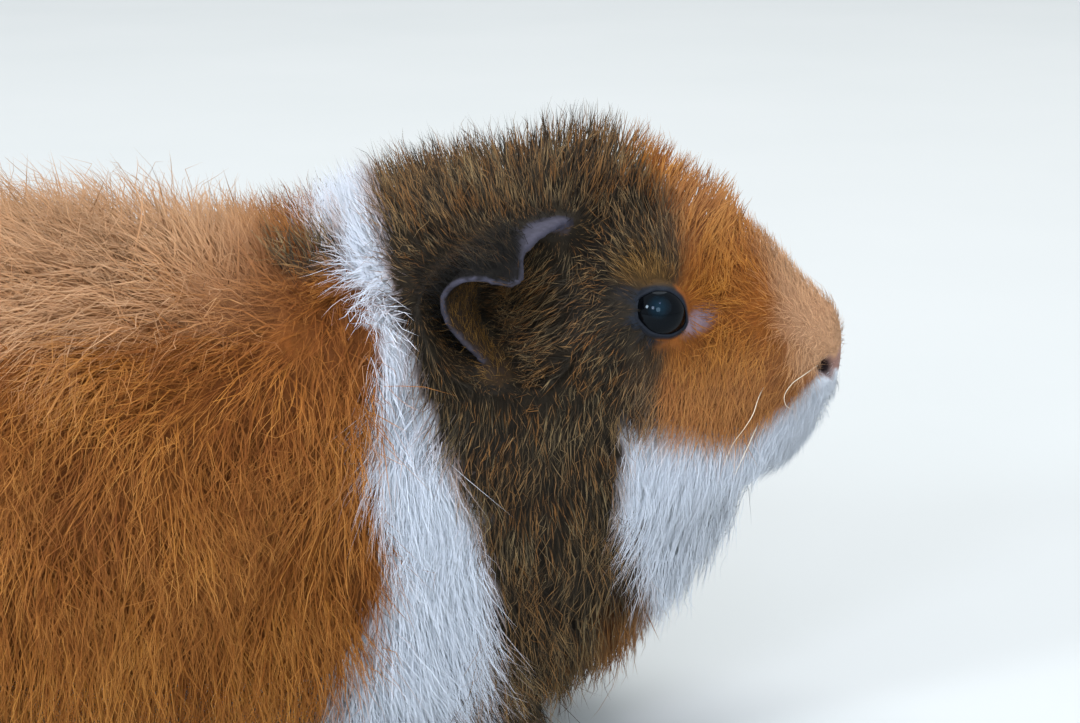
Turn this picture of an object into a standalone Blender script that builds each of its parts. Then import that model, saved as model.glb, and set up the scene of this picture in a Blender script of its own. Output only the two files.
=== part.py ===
"""A rex guinea pig, life size, standing still with its head raised.

+X runs from rump to nose, +Y to the animal's left and +Z up. The origin is on
the floor, below the middle of the body. The solids reach out to the tips of
the coat. Lengths below are millimetres, and become metres in new_object.
"""

import math
from collections import namedtuple

import bmesh
import bpy
import numpy as np
from mathutils import Matrix, Vector

MM = 0.001
GAP = 0.3  # between pieces that meet
HALF_LENGTH = 131  # nose tip and rump are this far from the origin

# The body's outline, coat included, as upright slices from rump to nose.
# widest: height of the broadest point.
# roof and keel: how the slice closes above and below it. 2 is round, less is
# peaked and more is flat.
Slice = namedtuple("Slice", "x top bottom half_width widest roof keel")
SLICES = (
    Slice(-131, 94, 20, 47, 54, 2.1, 2.4),
    Slice(-96, 102, 12, 57.5, 53, 2.1, 2.6),
    Slice(-60, 106, 9.5, 61.5, 52, 2.1, 2.8),
    Slice(-20, 107, 9, 61, 52, 2.1, 2.8),
    Slice(6, 105, 8.5, 58.5, 53, 2.1, 2.9),
    Slice(20, 102.5, 8, 55, 54, 2.05, 3.0),
    Slice(29, 105, 8, 52, 55, 2.0, 3.1),
    Slice(38, 109.5, 8, 49, 57, 2.0, 3.2),
    Slice(48, 113.5, 8.2, 45.5, 59, 1.95, 3.2),
    Slice(60, 116, 8.8, 41.5, 61, 1.95, 3.1),
    Slice(71, 118, 9.6, 37.5, 63, 1.9, 3.0),
    Slice(81, 119, 11, 33.5, 64, 1.85, 2.8),
    Slice(88, 117.5, 13.5, 30.5, 65, 1.85, 2.6),
    Slice(94, 114.5, 21.5, 27.8, 66, 1.85, 2.5),
    Slice(100, 111.2, 29, 25.4, 67, 1.9, 2.4),
    Slice(106, 107.6, 35, 23.2, 68, 1.95, 2.3),
    Slice(113, 101.7, 44, 20.5, 71, 2.0, 2.3),
    Slice(119, 94.0, 51.2, 17.6, 73, 2.1, 2.3),
    Slice(125, 87.8, 59, 14.4, 75, 2.2, 2.3),
    Slice(131, 85.4, 65.6, 11.4, 76.5, 2.2, 2.2),
)
RUMP_CAP = 40  # length over which the rump rounds off
RUMP_ROUNDNESS = 2.2  # 2 is round and more is blunt
NOSE_CAP = 6
NOSE_ROUNDNESS = 3.2
NOSE_SIDES = 13  # length over which the nose narrows, seen from above
NOSE_SIDES_ROUNDNESS = 2.0
TRUNK_STEP = 11  # between slices of the mesh
HEAD_STEP = 4.2
HEAD_FROM_X = 44
AROUND = 28  # corners in each slice

# Cuts across the body: a point at the top of the back, and the way to the nose.
HEAD_CUT = ((38, 0, 112), (0.886, 0, 0.462))
NECK_CUT = ((16, 0, 106), (0.913, 0, 0.408))

EYE_CENTRE = (94.1, -20.6, 86.6)  # the right eye. The left one mirrors it
EYE_RADIUS = 5.8

NOSTRIL_CENTRE = (128.2, -7.6, 73.2)
NOSTRIL_SIZE = (2.6, 1.7, 1.6)
NOSTRIL_TURN = 50  # degrees, outer end back
MOUTH_Z = 65
MOUTH_RADIUS = 9.4
MOUTH_CENTRE_X = 119.3
MOUTH_GROOVE = 0.55

# The coat is short in a bed round the ear, so that the ear stands on the skin.
EAR_BED_CENTRE = (67, -35, 92)
EAR_BED_SIZE = (14, 12.5, 16.5)
EAR_HOLE_CENTRE = (68, -23, 88.5)
EAR_HOLE_SIZE = (4.2, 5, 3.6)
# The right ear: a petal between its root, a bow behind the ear hole, and its
# free edge, which waves. Both run from the front of the ear to its lower end.
EAR_ROOT = (
    (80.2, -18, 103.4),
    (73.5, -20, 103.2),
    (66.0, -22, 101.3),
    (61.0, -23.5, 96.5),
    (60.5, -25, 89.5),
    (62.5, -26.5, 83),
    (66.0, -28, 77.5),
)
EAR_EDGE = (
    (79.9, -20.5, 104.0),
    (75.6, -26.5, 102.7),
    (71.6, -31.5, 100.6),
    (69.6, -34, 98.2),
    (70.4, -35.6, 95.7),
    (67.8, -37, 94.5),
    (63.4, -37.6, 95.7),
    (59.0, -37.6, 95.4),
    (56.1, -37, 92.9),
    (55.9, -36.2, 89.8),
    (57.4, -35.1, 86.4),
    (60.3, -33.3, 82.6),
    (65.0, -29.8, 76.8),
)
EAR_BULGE = 3.2  # how far the petal swells, back and up
EAR_THICK = 1.2
EAR_ALONG, EAR_ACROSS = 28, 5

# Each leg: where its foot stands, how far its toes turn out, and its sizes.
Leg = namedtuple("Leg", "name x y turn toes")
FRONT_TOES = ((-24, 6.6), (-8, 8.4), (8, 8.6), (25, 6.4))  # angle, length
HIND_TOES = ((-16, 8.8), (1, 10.2), (18, 8.6))
LEGS = (
    Leg("front_right", 70, -21, 6, FRONT_TOES),
    Leg("front_left", 64, 21, -6, FRONT_TOES),
    Leg("hind_right", -50, -37, 12, HIND_TOES),
    Leg("hind_left", -58, 37, -12, HIND_TOES),
)
PALM_FRONT = (7.0, 5.6, 4.4)  # half sizes
PALM_HIND = (15.5, 6.0, 5.0)
PALM_BACK = {"front": 0.0, "hind": -9.0}  # the palm's middle, behind the toes
TOE_RADIUS = 1.75
SOLE_SINK = 0.45  # trimmed off the underside, so that each foot stands flat
FOOT_TRIANGLES = 230
CLAW_LENGTH = {"front": 4.0, "hind": 5.2}
CLAW_RADIUS = 0.85
CLAW_DROP = 0.9
# Level slices of the leg above the foot: how far ahead, height, half length, half width.
SHANK_FRONT = ((-1, 6, 4.6, 4.2), (-2, 9.5, 6.4, 5.4), (-4, 17, 8, 6.6), (-8, 27, 10, 7), (-12, 38, 12, 6))
SHANK_HIND = ((-17, 7, 6.5, 4.8), (-18, 11, 9.5, 7.2), (-17, 17, 14, 9), (-14, 26, 19, 10.5), (-11, 38, 21, 10))
SHANK_RINGS, SHANK_AROUND = 7, 14

COLOURS = {  # base colour, roughness
    "coat_ginger": ((0.50, 0.19, 0.05), 0.85),
    "coat_white": ((0.86, 0.85, 0.83), 0.85),
    "coat_agouti": ((0.12, 0.075, 0.04), 0.85),
    "ear_skin": ((0.16, 0.12, 0.11), 0.6),
    "foot_skin": ((0.42, 0.27, 0.22), 0.65),
    "eye": ((0.008, 0.007, 0.008), 0.05),
    "claw": ((0.55, 0.45, 0.38), 0.4),
}


def clear_scene():
    for obj in list(bpy.data.objects):
        bpy.data.objects.remove(obj, do_unlink=True)


def material(name):
    found = bpy.data.materials.get(name)
    if found:
        return found
    made = bpy.data.materials.new(name)
    made.use_nodes = True
    shader = made.node_tree.nodes["Principled BSDF"]
    colour, roughness = COLOURS[name]
    shader.inputs["Base Color"].default_value = (*colour, 1)
    shader.inputs["Roughness"].default_value = roughness
    shader.inputs["Metallic"].default_value = 0.0
    made.diffuse_color = (*colour, 1)
    return made


def new_object(name, points, faces, material_name=None):
    """An object from points in millimetres, its faces turned outwards."""
    mesh = bpy.data.meshes.new(name)
    mesh.from_pydata([Vector(p) * MM for p in points], [], faces)
    shape = bmesh.new()
    shape.from_mesh(mesh)
    bmesh.ops.recalc_face_normals(shape, faces=shape.faces)
    shape.to_mesh(mesh)
    shape.free()
    obj = bpy.data.objects.new(name, mesh)
    bpy.context.scene.collection.objects.link(obj)
    if material_name:
        mesh.materials.append(material(material_name))
    return obj


def applied(obj):
    """Replaces the object's mesh with what its modifiers make of it."""
    bpy.context.view_layer.update()
    graph = bpy.context.evaluated_depsgraph_get()
    mesh = bpy.data.meshes.new_from_object(obj.evaluated_get(graph))
    obj.modifiers.clear()
    obj.data = mesh
    return obj


def combine(obj, other, operation, keep_other=False):
    cut = obj.modifiers.new(operation.lower(), "BOOLEAN")
    cut.operation = operation
    cut.object = other
    applied(obj)
    if not keep_other:
        bpy.data.objects.remove(other, do_unlink=True)
    return obj


def between(x, places, values):
    """A smooth curve through values at places, which never overshoots them."""
    places, values = np.asarray(places, float), np.asarray(values, float)
    step = np.diff(places)
    slope = np.diff(values) / step
    tangent = np.empty(len(values))
    tangent[0], tangent[-1] = slope[0], slope[-1]
    level = slope[1:] * slope[:-1] <= 0
    mean = 2 * slope[1:] * slope[:-1] / np.where(level, 1, slope[1:] + slope[:-1])
    tangent[1:-1] = np.where(level, 0, mean)
    i = min(max(int(np.searchsorted(places, x)) - 1, 0), len(step) - 1)
    t = (x - places[i]) / step[i]
    start = (1 + 2 * t) * (1 - t) ** 2 * values[i] + t * (1 - t) ** 2 * step[i] * tangent[i]
    end = t * t * (3 - 2 * t) * values[i + 1] - t * t * (1 - t) * step[i] * tangent[i + 1]
    return start + end


def slice_at(x):
    places = [s.x for s in SLICES]
    return Slice(x, *(between(x, places, column) for column in list(zip(*SLICES))[1:]))


def rounded(part, power):
    """The half width of a rounded end, 1 where it starts and 0 at its tip."""
    return max(1 - part**power, 0) ** (1 / power)


def side_share(x):
    """How much of its full width a slice has."""
    if x > HALF_LENGTH - NOSE_SIDES:
        part = (x - HALF_LENGTH + NOSE_SIDES) / NOSE_SIDES
        return rounded(part, NOSE_SIDES_ROUNDNESS)
    return cap_share(x)


def cap_share(x):
    """How much of its full height a slice has, 1 away from the two round ends."""
    if x > HALF_LENGTH - NOSE_CAP:
        return rounded((x - HALF_LENGTH + NOSE_CAP) / NOSE_CAP, NOSE_ROUNDNESS)
    if x < RUMP_CAP - HALF_LENGTH:
        return rounded((RUMP_CAP - HALF_LENGTH - x) / RUMP_CAP, RUMP_ROUNDNESS)
    return 1.0


def signed_power(value, power):
    return math.copysign(abs(value) ** power, value)


def slice_ring(x):
    s, share = slice_at(x), cap_share(x)
    middle = (s.top + s.bottom) / 2
    ring = []
    for i in range(AROUND):
        turn = 2 * math.pi * i / AROUND
        power = 2 / (s.roof if math.sin(turn) > 0 else s.keel)
        reach = (s.top if math.sin(turn) > 0 else s.bottom) - s.widest
        side = s.half_width * signed_power(math.cos(turn), power)
        height = s.widest + abs(reach) * signed_power(math.sin(turn), power)
        ring.append((x, side * side_share(x), middle + (height - middle) * share))
    return ring


def slice_places():
    """Where the slices lie: evenly along the body, and closer on its round ends."""
    rump_start, nose_start = RUMP_CAP - HALF_LENGTH, HALF_LENGTH - NOSE_CAP
    rump = [rump_start - RUMP_CAP * math.sin(a) for a in np.linspace(1.48, 0.15, 7)]
    trunk = np.linspace(rump_start, HEAD_FROM_X, round((HEAD_FROM_X - rump_start) / TRUNK_STEP))
    head = np.linspace(HEAD_FROM_X, nose_start, round((nose_start - HEAD_FROM_X) / HEAD_STEP))
    nose = [nose_start + NOSE_CAP * math.sin(a) for a in np.linspace(0.4, 1.4, 4)]
    return [*rump, *trunk, *head[1:], *nose]


def lofted(name, rings, first, last, material_name=None):
    """A closed solid through rings of equally many points, with a point at each end."""
    count = len(rings[0])
    points = [first, *(p for ring in rings for p in ring), last]
    faces = []
    for i in range(count):
        j = (i + 1) % count
        faces.append((0, 1 + i, 1 + j))
        for r in range(len(rings) - 1):
            a, b = 1 + r * count, 1 + (r + 1) * count
            faces.append((a + i, b + i, b + j, a + j))
        a = 1 + (len(rings) - 1) * count
        faces.append((a + i, len(points) - 1, a + j))
    return new_object(name, points, faces, material_name)


def ellipsoid(name, centre, size, segments=24, rings=16, turn=0.0, material_name=None):
    """size is its half lengths. turn is about the upright axis, in degrees."""
    shape = bmesh.new()
    bmesh.ops.create_uvsphere(shape, u_segments=segments, v_segments=rings, radius=1)
    stretch = Matrix.Diagonal((*(Vector(size) * MM), 1))
    place = Matrix.Translation(Vector(centre) * MM) @ Matrix.Rotation(math.radians(turn), 4, "Z")
    shape.transform(place @ stretch)
    mesh = bpy.data.meshes.new(name)
    shape.to_mesh(mesh)
    shape.free()
    obj = bpy.data.objects.new(name, mesh)
    bpy.context.scene.collection.objects.link(obj)
    if material_name:
        mesh.materials.append(material(material_name))
    return obj


def mirrored(point):
    return (point[0], -point[1], point[2])


def both_sides(point, turn=0.0):
    """The right and left places of something given on the right."""
    return ((point, turn), (mirrored(point), -turn))


def make_plain_body():
    ends = [slice_at(x) for x in (-HALF_LENGTH, HALF_LENGTH)]
    rump, nose = ((s.x, 0, (s.top + s.bottom) / 2) for s in ends)
    return lofted("body", [slice_ring(x) for x in slice_places()], rump, nose)


def add_face(body):
    """Cuts the ear beds, ear holes, eye sockets, nostrils and mouth into the body."""
    for centre, _ in both_sides(EAR_BED_CENTRE):
        combine(body, ellipsoid("ear_bed", centre, EAR_BED_SIZE, 18, 10), "DIFFERENCE")
    for centre, _ in both_sides(EAR_HOLE_CENTRE):
        combine(body, ellipsoid("ear_hole", centre, EAR_HOLE_SIZE, 12, 6), "DIFFERENCE")
    socket = (EYE_RADIUS + GAP,) * 3
    for centre, _ in both_sides(EYE_CENTRE):
        combine(body, ellipsoid("socket", centre, socket, 16, 8), "DIFFERENCE")
    for centre, turn in both_sides(NOSTRIL_CENTRE, NOSTRIL_TURN):
        combine(body, ellipsoid("nostril", centre, NOSTRIL_SIZE, 10, 6, turn), "DIFFERENCE")
    combine(body, mouth_cutter(), "DIFFERENCE")


def mouth_cutter():
    """A thin bowed tube that cuts the closed mouth's line round the muzzle."""
    steps, sides, reach = 10, 5, math.radians(50)
    rings = []
    for i in range(steps + 1):
        bow = -reach + 2 * reach * i / steps
        out = Vector((math.cos(bow), math.sin(bow), 0))
        centre = Vector((MOUTH_CENTRE_X, 0, MOUTH_Z)) + out * MOUTH_RADIUS
        centre.z -= 1.6 * math.sin(bow) ** 2
        turns = [2 * math.pi * k / sides for k in range(sides)]
        lean = [out * math.cos(t) + Vector((0, 0, math.sin(t))) for t in turns]
        rings.append([tuple(centre + v * MOUTH_GROOVE) for v in lean])
    ends = [tuple(sum((Vector(p) for p in ring), Vector()) / sides) for ring in (rings[0], rings[-1])]
    return lofted("mouth", rings, *ends)


def part_between(body, name, material_name, planes):
    """The body's part on the near side of each plane, closed by flat faces."""
    shape = bmesh.new()
    shape.from_mesh(body.data)
    for point, normal in planes:
        everything = [*shape.verts, *shape.edges, *shape.faces]
        cut = bmesh.ops.bisect_plane(
            shape, geom=everything, dist=1e-7, plane_co=Vector(point) * MM,
            plane_no=Vector(normal), clear_outer=True)
        rim = [e for e in cut["geom_cut"] if isinstance(e, bmesh.types.BMEdge)]
        bmesh.ops.triangle_fill(shape, edges=rim, use_beauty=True, normal=Vector(normal))
    bmesh.ops.recalc_face_normals(shape, faces=shape.faces)
    mesh = bpy.data.meshes.new(name)
    shape.to_mesh(mesh)
    shape.free()
    obj = bpy.data.objects.new(name, mesh)
    bpy.context.scene.collection.objects.link(obj)
    mesh.materials.clear()
    mesh.materials.append(material(material_name))
    return obj


def facing(cut, back):
    """A cut's plane, half a gap to the front or back of it, facing back or front."""
    point, normal = Vector(cut[0]), Vector(cut[1]).normalized()
    aside = -GAP / 2 if back else GAP / 2
    return (point + normal * aside, normal if back else -normal)


def grown(obj, by):
    """A copy of the object whose surface lies further out."""
    copy = obj.copy()
    copy.data = obj.data.copy()
    bpy.context.scene.collection.objects.link(copy)
    shape = bmesh.new()
    shape.from_mesh(copy.data)
    bmesh.ops.remove_doubles(shape, verts=shape.verts, dist=0.02 * MM)
    shape.normal_update()
    moves = [(v, v.normal * by * MM * min(v.calc_shell_factor(), 1.6)) for v in shape.verts]
    for vert, move in moves:
        vert.co += move
    shape.to_mesh(copy.data)
    shape.free()
    return copy


def spline(points, t):
    """A point on the smooth curve through points, for t from 0 to 1."""
    at = min(max(t, 0), 1) * (len(points) - 1)
    i = min(int(at), len(points) - 2)
    f = at - i
    p = [Vector(points[min(max(k, 0), len(points) - 1)]) for k in (i - 1, i, i + 1, i + 2)]
    near = 2 * p[1] + (p[2] - p[0]) * f
    far = (2 * p[0] - 5 * p[1] + 4 * p[2] - p[3]) * f**2 + (3 * p[1] - p[0] - 3 * p[2] + p[3]) * f**3
    return (near + far) / 2


def ear_point(u, v):
    """On the petal's middle sheet, u along it and v from its root to its edge."""
    root, edge = spline(EAR_ROOT, u), spline(EAR_EDGE, u)
    swell = Vector((-0.45, -0.55, 0.7)) * EAR_BULGE * math.sin(math.pi * u) ** 0.7
    middle = (root + edge) / 2 + swell
    return root * (1 - v) ** 2 + middle * 2 * v * (1 - v) + edge * v**2


def make_ear(side, head):
    """A petal of even thickness, trimmed where it meets the head."""
    points, faces = [], []
    for i in range(EAR_ALONG + 1):
        for j in range(EAR_ACROSS + 1):
            points.append(ear_point(i / EAR_ALONG, j / EAR_ACROSS))
    for i in range(EAR_ALONG):
        for j in range(EAR_ACROSS):
            a = i * (EAR_ACROSS + 1) + j
            faces.append((a, a + 1, a + EAR_ACROSS + 2, a + EAR_ACROSS + 1))
    if side == "left":
        points = [mirrored(p) for p in points]
    ear = new_object("ear_" + side, points, faces, "ear_skin")
    thick = ear.modifiers.new("thickness", "SOLIDIFY")
    thick.thickness = EAR_THICK * MM
    thick.offset = 0
    applied(ear)
    combine(ear, grown(head, GAP), "DIFFERENCE")
    return largest_body(ear)


def largest_body(obj):
    """Drops scraps that a cut left apart from the main piece."""
    shape = bmesh.new()
    shape.from_mesh(obj.data)
    left, groups = set(shape.verts), []
    while left:
        group, todo = set(), [left.pop()]
        while todo:
            vert = todo.pop()
            group.add(vert)
            near = {e.other_vert(vert) for e in vert.link_edges} & left
            left -= near
            todo.extend(near)
        groups.append(group)
    keep = max(groups, key=len)
    bmesh.ops.delete(shape, geom=[v for v in shape.verts if v not in keep], context="VERTS")
    shape.to_mesh(obj.data)
    shape.free()
    return obj


def tube(name, stations, sides=14, material_name=None):
    """A round solid through stations of (centre, radius), with domed ends."""
    rings = []
    for i, (centre, radius) in enumerate(stations):
        before, after = stations[max(i - 1, 0)][0], stations[min(i + 1, len(stations) - 1)][0]
        along = (Vector(after) - Vector(before)).normalized()
        side = along.cross(Vector((0, 0, 1)))
        side = side.normalized() if side.length > 0.05 else Vector((0, 1, 0))
        over = side.cross(along)
        turns = [2 * math.pi * k / sides for k in range(sides)]
        rings.append([Vector(centre) + (side * math.cos(t) + over * math.sin(t)) * radius for t in turns])
    return lofted(name, rings, stations[0][0], stations[-1][0], material_name)


def foot_frame(leg):
    """Turns and moves a foot built at the origin, toes along +X, to its place."""
    turn = Matrix.Rotation(math.radians(-leg.turn), 4, "Z")
    return Matrix.Translation(Vector((leg.x, leg.y, 0))) @ turn


def toe_stations(kind, angle, length):
    """A toe from inside the palm to its rounded tip, arched over its pad."""
    ahead = Vector((math.cos(math.radians(angle)), math.sin(math.radians(angle)), 0))
    start = Vector((1.5 if kind == "front" else 2.5, 2.1 * math.sin(math.radians(angle * 2.5)), 0))
    shape = ((-3.0, 2.6, 0.9), (1.5, 2.7, 1.08), (5.0, 2.5, 1.02), (length - 1.2, 1.75, 1.0), (length, 1.6, 0.62))
    return [(start + ahead * d + Vector((0, 0, h)), TOE_RADIUS * r) for d, h, r in shape]


def make_foot(leg, kind):
    palm_size = PALM_FRONT if kind == "front" else PALM_HIND
    palm_centre = (PALM_BACK[kind], 0, palm_size[2] - 0.2)
    foot = ellipsoid("foot_" + leg.name, palm_centre, palm_size, 24, 14)
    for angle, length in leg.toes:
        combine(foot, tube("toe", toe_stations(kind, angle, length), 10), "UNION")
    soften = foot.modifiers.new("one_surface", "REMESH")
    soften.mode = "VOXEL"
    soften.voxel_size = 0.55 * MM
    smooth = foot.modifiers.new("soft", "SMOOTH")
    smooth.iterations = 6
    applied(foot)
    fewer = foot.modifiers.new("fewer", "DECIMATE")
    fewer.ratio = min(1.0, FOOT_TRIANGLES / (2 * len(foot.data.polygons)))
    applied(foot)
    foot.data.transform(Matrix.Translation((0, 0, -SOLE_SINK * MM)))
    place = foot_frame(leg)
    place.translation *= MM
    foot.data.transform(place)
    trimmed = part_between(foot, "foot_" + leg.name, "foot_skin", [((0, 0, 0), (0, 0, -1))])
    bpy.data.objects.remove(foot, do_unlink=True)
    trimmed.name = "foot_" + leg.name
    return trimmed


def make_claws(leg, kind, foot):
    """One tapered, downcurved claw at each toe tip, trimmed to meet the toe."""
    place = foot_frame(leg)
    reach = CLAW_LENGTH[kind]
    near_toe = grown(foot, GAP)
    for number, (angle, length) in enumerate(leg.toes, 1):
        tip = toe_stations(kind, angle, length)[-1][0]
        ahead = Vector((math.cos(math.radians(angle)), math.sin(math.radians(angle)), 0))
        stations = []
        for along in np.linspace(-0.25, 1, 4):
            drop = CLAW_DROP * max(along, 0) ** 2 + SOLE_SINK
            centre = tip + ahead * reach * along + Vector((0, 0, 0.45 - drop))
            stations.append((place @ centre, CLAW_RADIUS * (1 - 0.86 * max(along, 0) ** 1.4)))
        claw = tube(f"claw_{leg.name}_{number}", stations, 6, "claw")
        combine(claw, near_toe, "DIFFERENCE", keep_other=True)
        largest_body(claw)
    bpy.data.objects.remove(near_toe, do_unlink=True)


def make_leg(leg, kind, near_body, foot):
    """The leg above the foot, trimmed where it meets the body and the foot."""
    place = foot_frame(leg)
    aheads, heights, lengths, widths = zip(*(SHANK_FRONT if kind == "front" else SHANK_HIND))
    rings = []
    for z in np.linspace(heights[0], heights[-1], SHANK_RINGS):
        ahead, long, wide = (between(z, heights, sizes) for sizes in (aheads, lengths, widths))
        turns = [2 * math.pi * k / SHANK_AROUND for k in range(SHANK_AROUND)]
        rings.append([place @ Vector((ahead + long * math.cos(t), wide * math.sin(t), z)) for t in turns])
    ends = (sum(ring, Vector()) / SHANK_AROUND for ring in (rings[0], rings[-1]))
    made = lofted("leg_" + leg.name, rings, *ends, "coat_ginger")
    combine(made, near_body, "DIFFERENCE", keep_other=True)
    combine(made, grown(foot, GAP), "DIFFERENCE")
    return largest_body(made)


def make_eyes():
    for side, (centre, _) in zip(("right", "left"), both_sides(EYE_CENTRE), strict=True):
        ellipsoid("eye_" + side, centre, (EYE_RADIUS,) * 3, 18, 10, material_name="eye")


def smooth_shading():
    for obj in bpy.data.objects:
        obj.data.shade_smooth()
        obj.data.set_sharp_from_angle(angle=math.radians(45))


def main():
    clear_scene()
    body = make_plain_body()
    near_body = grown(body, GAP)
    for leg in LEGS:
        kind = leg.name.split("_")[0]
        foot = make_foot(leg, kind)
        make_leg(leg, kind, near_body, foot)
        make_claws(leg, kind, foot)
    bpy.data.objects.remove(near_body, do_unlink=True)
    add_face(body)
    part_between(body, "head", "coat_agouti", [facing(HEAD_CUT, False)])
    part_between(body, "neck", "coat_white", [facing(HEAD_CUT, True), facing(NECK_CUT, False)])
    part_between(body, "trunk", "coat_ginger", [facing(NECK_CUT, True)])
    for side in ("right", "left"):
        make_ear(side, body)
    make_eyes()
    bpy.data.objects.remove(body, do_unlink=True)
    smooth_shading()


main()
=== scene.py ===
"""The looks of a rex guinea pig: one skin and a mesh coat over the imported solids.

Lengths are millimetres unless a name says otherwise, and MM turns them into
Blender's metres. +X runs from rump to nose, +Y to the animal's left, +Z up.
What is given for one side of the animal holds for the other, mirrored.
"""

import math
from collections import namedtuple

import bmesh
import bpy
import numpy as np
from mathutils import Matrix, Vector, bvhtree, kdtree

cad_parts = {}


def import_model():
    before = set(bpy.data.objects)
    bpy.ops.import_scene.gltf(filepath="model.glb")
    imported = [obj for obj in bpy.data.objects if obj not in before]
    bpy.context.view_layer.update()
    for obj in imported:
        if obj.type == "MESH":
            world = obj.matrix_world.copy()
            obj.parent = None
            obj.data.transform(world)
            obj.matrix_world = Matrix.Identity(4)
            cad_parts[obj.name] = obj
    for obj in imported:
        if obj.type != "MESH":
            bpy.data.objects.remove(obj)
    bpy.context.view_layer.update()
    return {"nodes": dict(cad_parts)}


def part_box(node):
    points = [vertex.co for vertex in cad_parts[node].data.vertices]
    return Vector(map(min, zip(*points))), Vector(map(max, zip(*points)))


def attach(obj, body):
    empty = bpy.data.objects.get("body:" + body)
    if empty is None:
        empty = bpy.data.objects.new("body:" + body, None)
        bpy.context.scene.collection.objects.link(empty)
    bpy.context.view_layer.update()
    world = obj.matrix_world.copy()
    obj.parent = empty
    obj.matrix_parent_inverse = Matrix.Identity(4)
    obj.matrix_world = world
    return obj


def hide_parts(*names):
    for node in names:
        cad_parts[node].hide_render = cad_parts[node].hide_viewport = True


MM = 0.001
LEGS = ("front_right", "front_left", "hind_right", "hind_left")
SIDES = (("right", -1), ("left", 1))
LEG_NODES = ["leg_" + leg for leg in LEGS]
FOOT_NODES = ["foot_" + leg for leg in LEGS]
EAR_NODES = ["ear_" + side for side, _ in SIDES]
CLUMP_SEED, STRAY_SEED, WHISKER_SEED = 7, 57, 97
LAYER_SEED = 16  # to which each layer's number is added

# The coat and how it lies, place by place: the middle of the place, how far it
# spreads, where its hair points (ahead, outwards, up), its lift (0 lies on the
# skin and 1 stands up from it), and its depth from the skin to the coat's tips.
PLACES = (
    ("nose tip", (130, 4, 77), 7, (-0.5, 0.35, 0.5), 0.25, 0.8),
    ("nose bridge", (119, 3, 92), 10, (-0.9, 0.1, 0.35), 0.40, 2.2),
    ("forehead", (105, 5, 106), 12, (0.15, 0, 1), 0.90, 7.2),
    ("muzzle", (119, 14, 73), 9, (-0.8, 0, -0.5), 0.30, 1.8),
    ("upper lip", (129, 4, 69.5), 5, (-0.3, 0.5, -0.6), 0.20, 0.8),
    ("lip", (124, 8, 61), 8, (-0.7, 0, -0.6), 0.30, 1.7),
    ("cheek", (106, 21, 68), 11, (-0.4, 0, -1), 0.35, 3.2),
    ("brow", (96, 20, 99), 8, (-0.5, 0.1, 0.6), 0.50, 4.0),
    ("eye", (94, 24, 87), 7, (-0.8, 0, -0.3), 0.30, 1.9),
    ("ear front", (74, 31, 90), 5, (-0.1, 0.3, -1), 0.45, 2.6),
    ("temple", (83, 28, 86), 10, (-0.75, 0, -0.65), 0.62, 5.0),
    ("crown", (78, 6, 117), 13, (0.3, 0, 1), 0.88, 9.5),
    ("crown front", (90, 6, 115), 8, (0.4, 0, 1), 0.90, 7.6),
    ("poll", (56, 10, 113), 14, (-0.45, 0.1, 1), 0.85, 10.5),
    ("jowl", (76, 33, 62), 15, (-0.35, 0, -0.9), 0.62, 7.0),
    ("throat", (106, 10, 38), 14, (-0.4, 0, -1), 0.34, 6.5),
    ("chest", (86, 18, 20), 15, (-0.35, 0, -1), 0.46, 6.5),
    ("neck side", (60, 38, 60), 14, (-0.2, 0, -1), 0.58, 8.5),
    ("collar crest", (38, 6, 109), 12, (-0.2, 0.1, 1), 0.85, 10.5),
    ("collar top", (36, 30, 100), 12, (-0.1, 0.5, -0.6), 0.55, 10.5),
    ("collar side", (49, 44, 70), 13, (0.0, 0.2, -1), 0.42, 10.5),
    ("collar low", (55, 40, 25), 16, (0.4, 0.1, -1), 0.38, 9.5),
    ("shoulder top", (17, 38, 95), 12, (-0.6, 0.2, -0.9), 0.38, 11.5),
    ("shoulder", (22, 48, 78), 15, (-0.55, 0.1, -0.85), 0.40, 12.5),
    ("elbow", (22, 52, 40), 18, (-0.15, 0, -1), 0.45, 11.5),
    ("withers", (18, 8, 102), 12, (-0.5, 0.1, 0.7), 0.72, 9.5),
    ("fore back", (-14, 8, 107), 18, (-0.75, 0.55, 0.1), 0.48, 12.5),
    ("hind back", (-70, 8, 104), 28, (-0.9, 0.2, 0), 0.45, 12.5),
    ("fore flank top", (-14, 40, 98), 16, (-0.75, 0.45, -0.85), 0.29, 12.5),
    ("fore flank high", (-14, 56, 80), 12, (-0.3, 0.1, -0.9), 0.44, 12.5),
    ("hind flank top", (-75, 44, 92), 22, (-0.85, 0.3, -0.6), 0.35, 12.0),
    ("hind flank high", (-75, 57, 74), 16, (-0.4, 0.1, -0.85), 0.42, 12.0),
    ("fore flank", (-12, 58, 58), 24, (0.0, 0, -1), 0.40, 11.5),
    ("hind flank", (-75, 58, 48), 28, (-0.15, 0, -1), 0.40, 11.0),
    ("rump top", (-120, 12, 88), 18, (-0.8, 0.1, -0.2), 0.60, 12.0),
    ("rump", (-128, 22, 50), 22, (-0.3, 0.1, -1), 0.45, 12.0),
    ("belly", (10, 15, 9), 26, (-0.3, 0, -1), 0.40, 8.0),
    ("groin", (-75, 15, 11), 26, (-0.3, 0, -1), 0.40, 8.0),
)
MIDDLES, SPREADS, WAYS, LIFTS, DEPTHS = (np.array(column, float) for column in list(zip(*PLACES))[1:])
PLACE_FALLOFF = 1.4  # how sharply one place gives way to the next
LEG_DEPTH, FOOT_DEPTH = 1.1, 0.25  # how far the skin is inside their solids
ROOM_AT_ROOTS = -0.6  # the skin rises to meet ears and legs, and falls away from them
ROOM_SLOPE = 0.9
ROOM_AT_EYES = 0.7
ROOM_SLOPE_AT_EYES = 0.45

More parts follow.
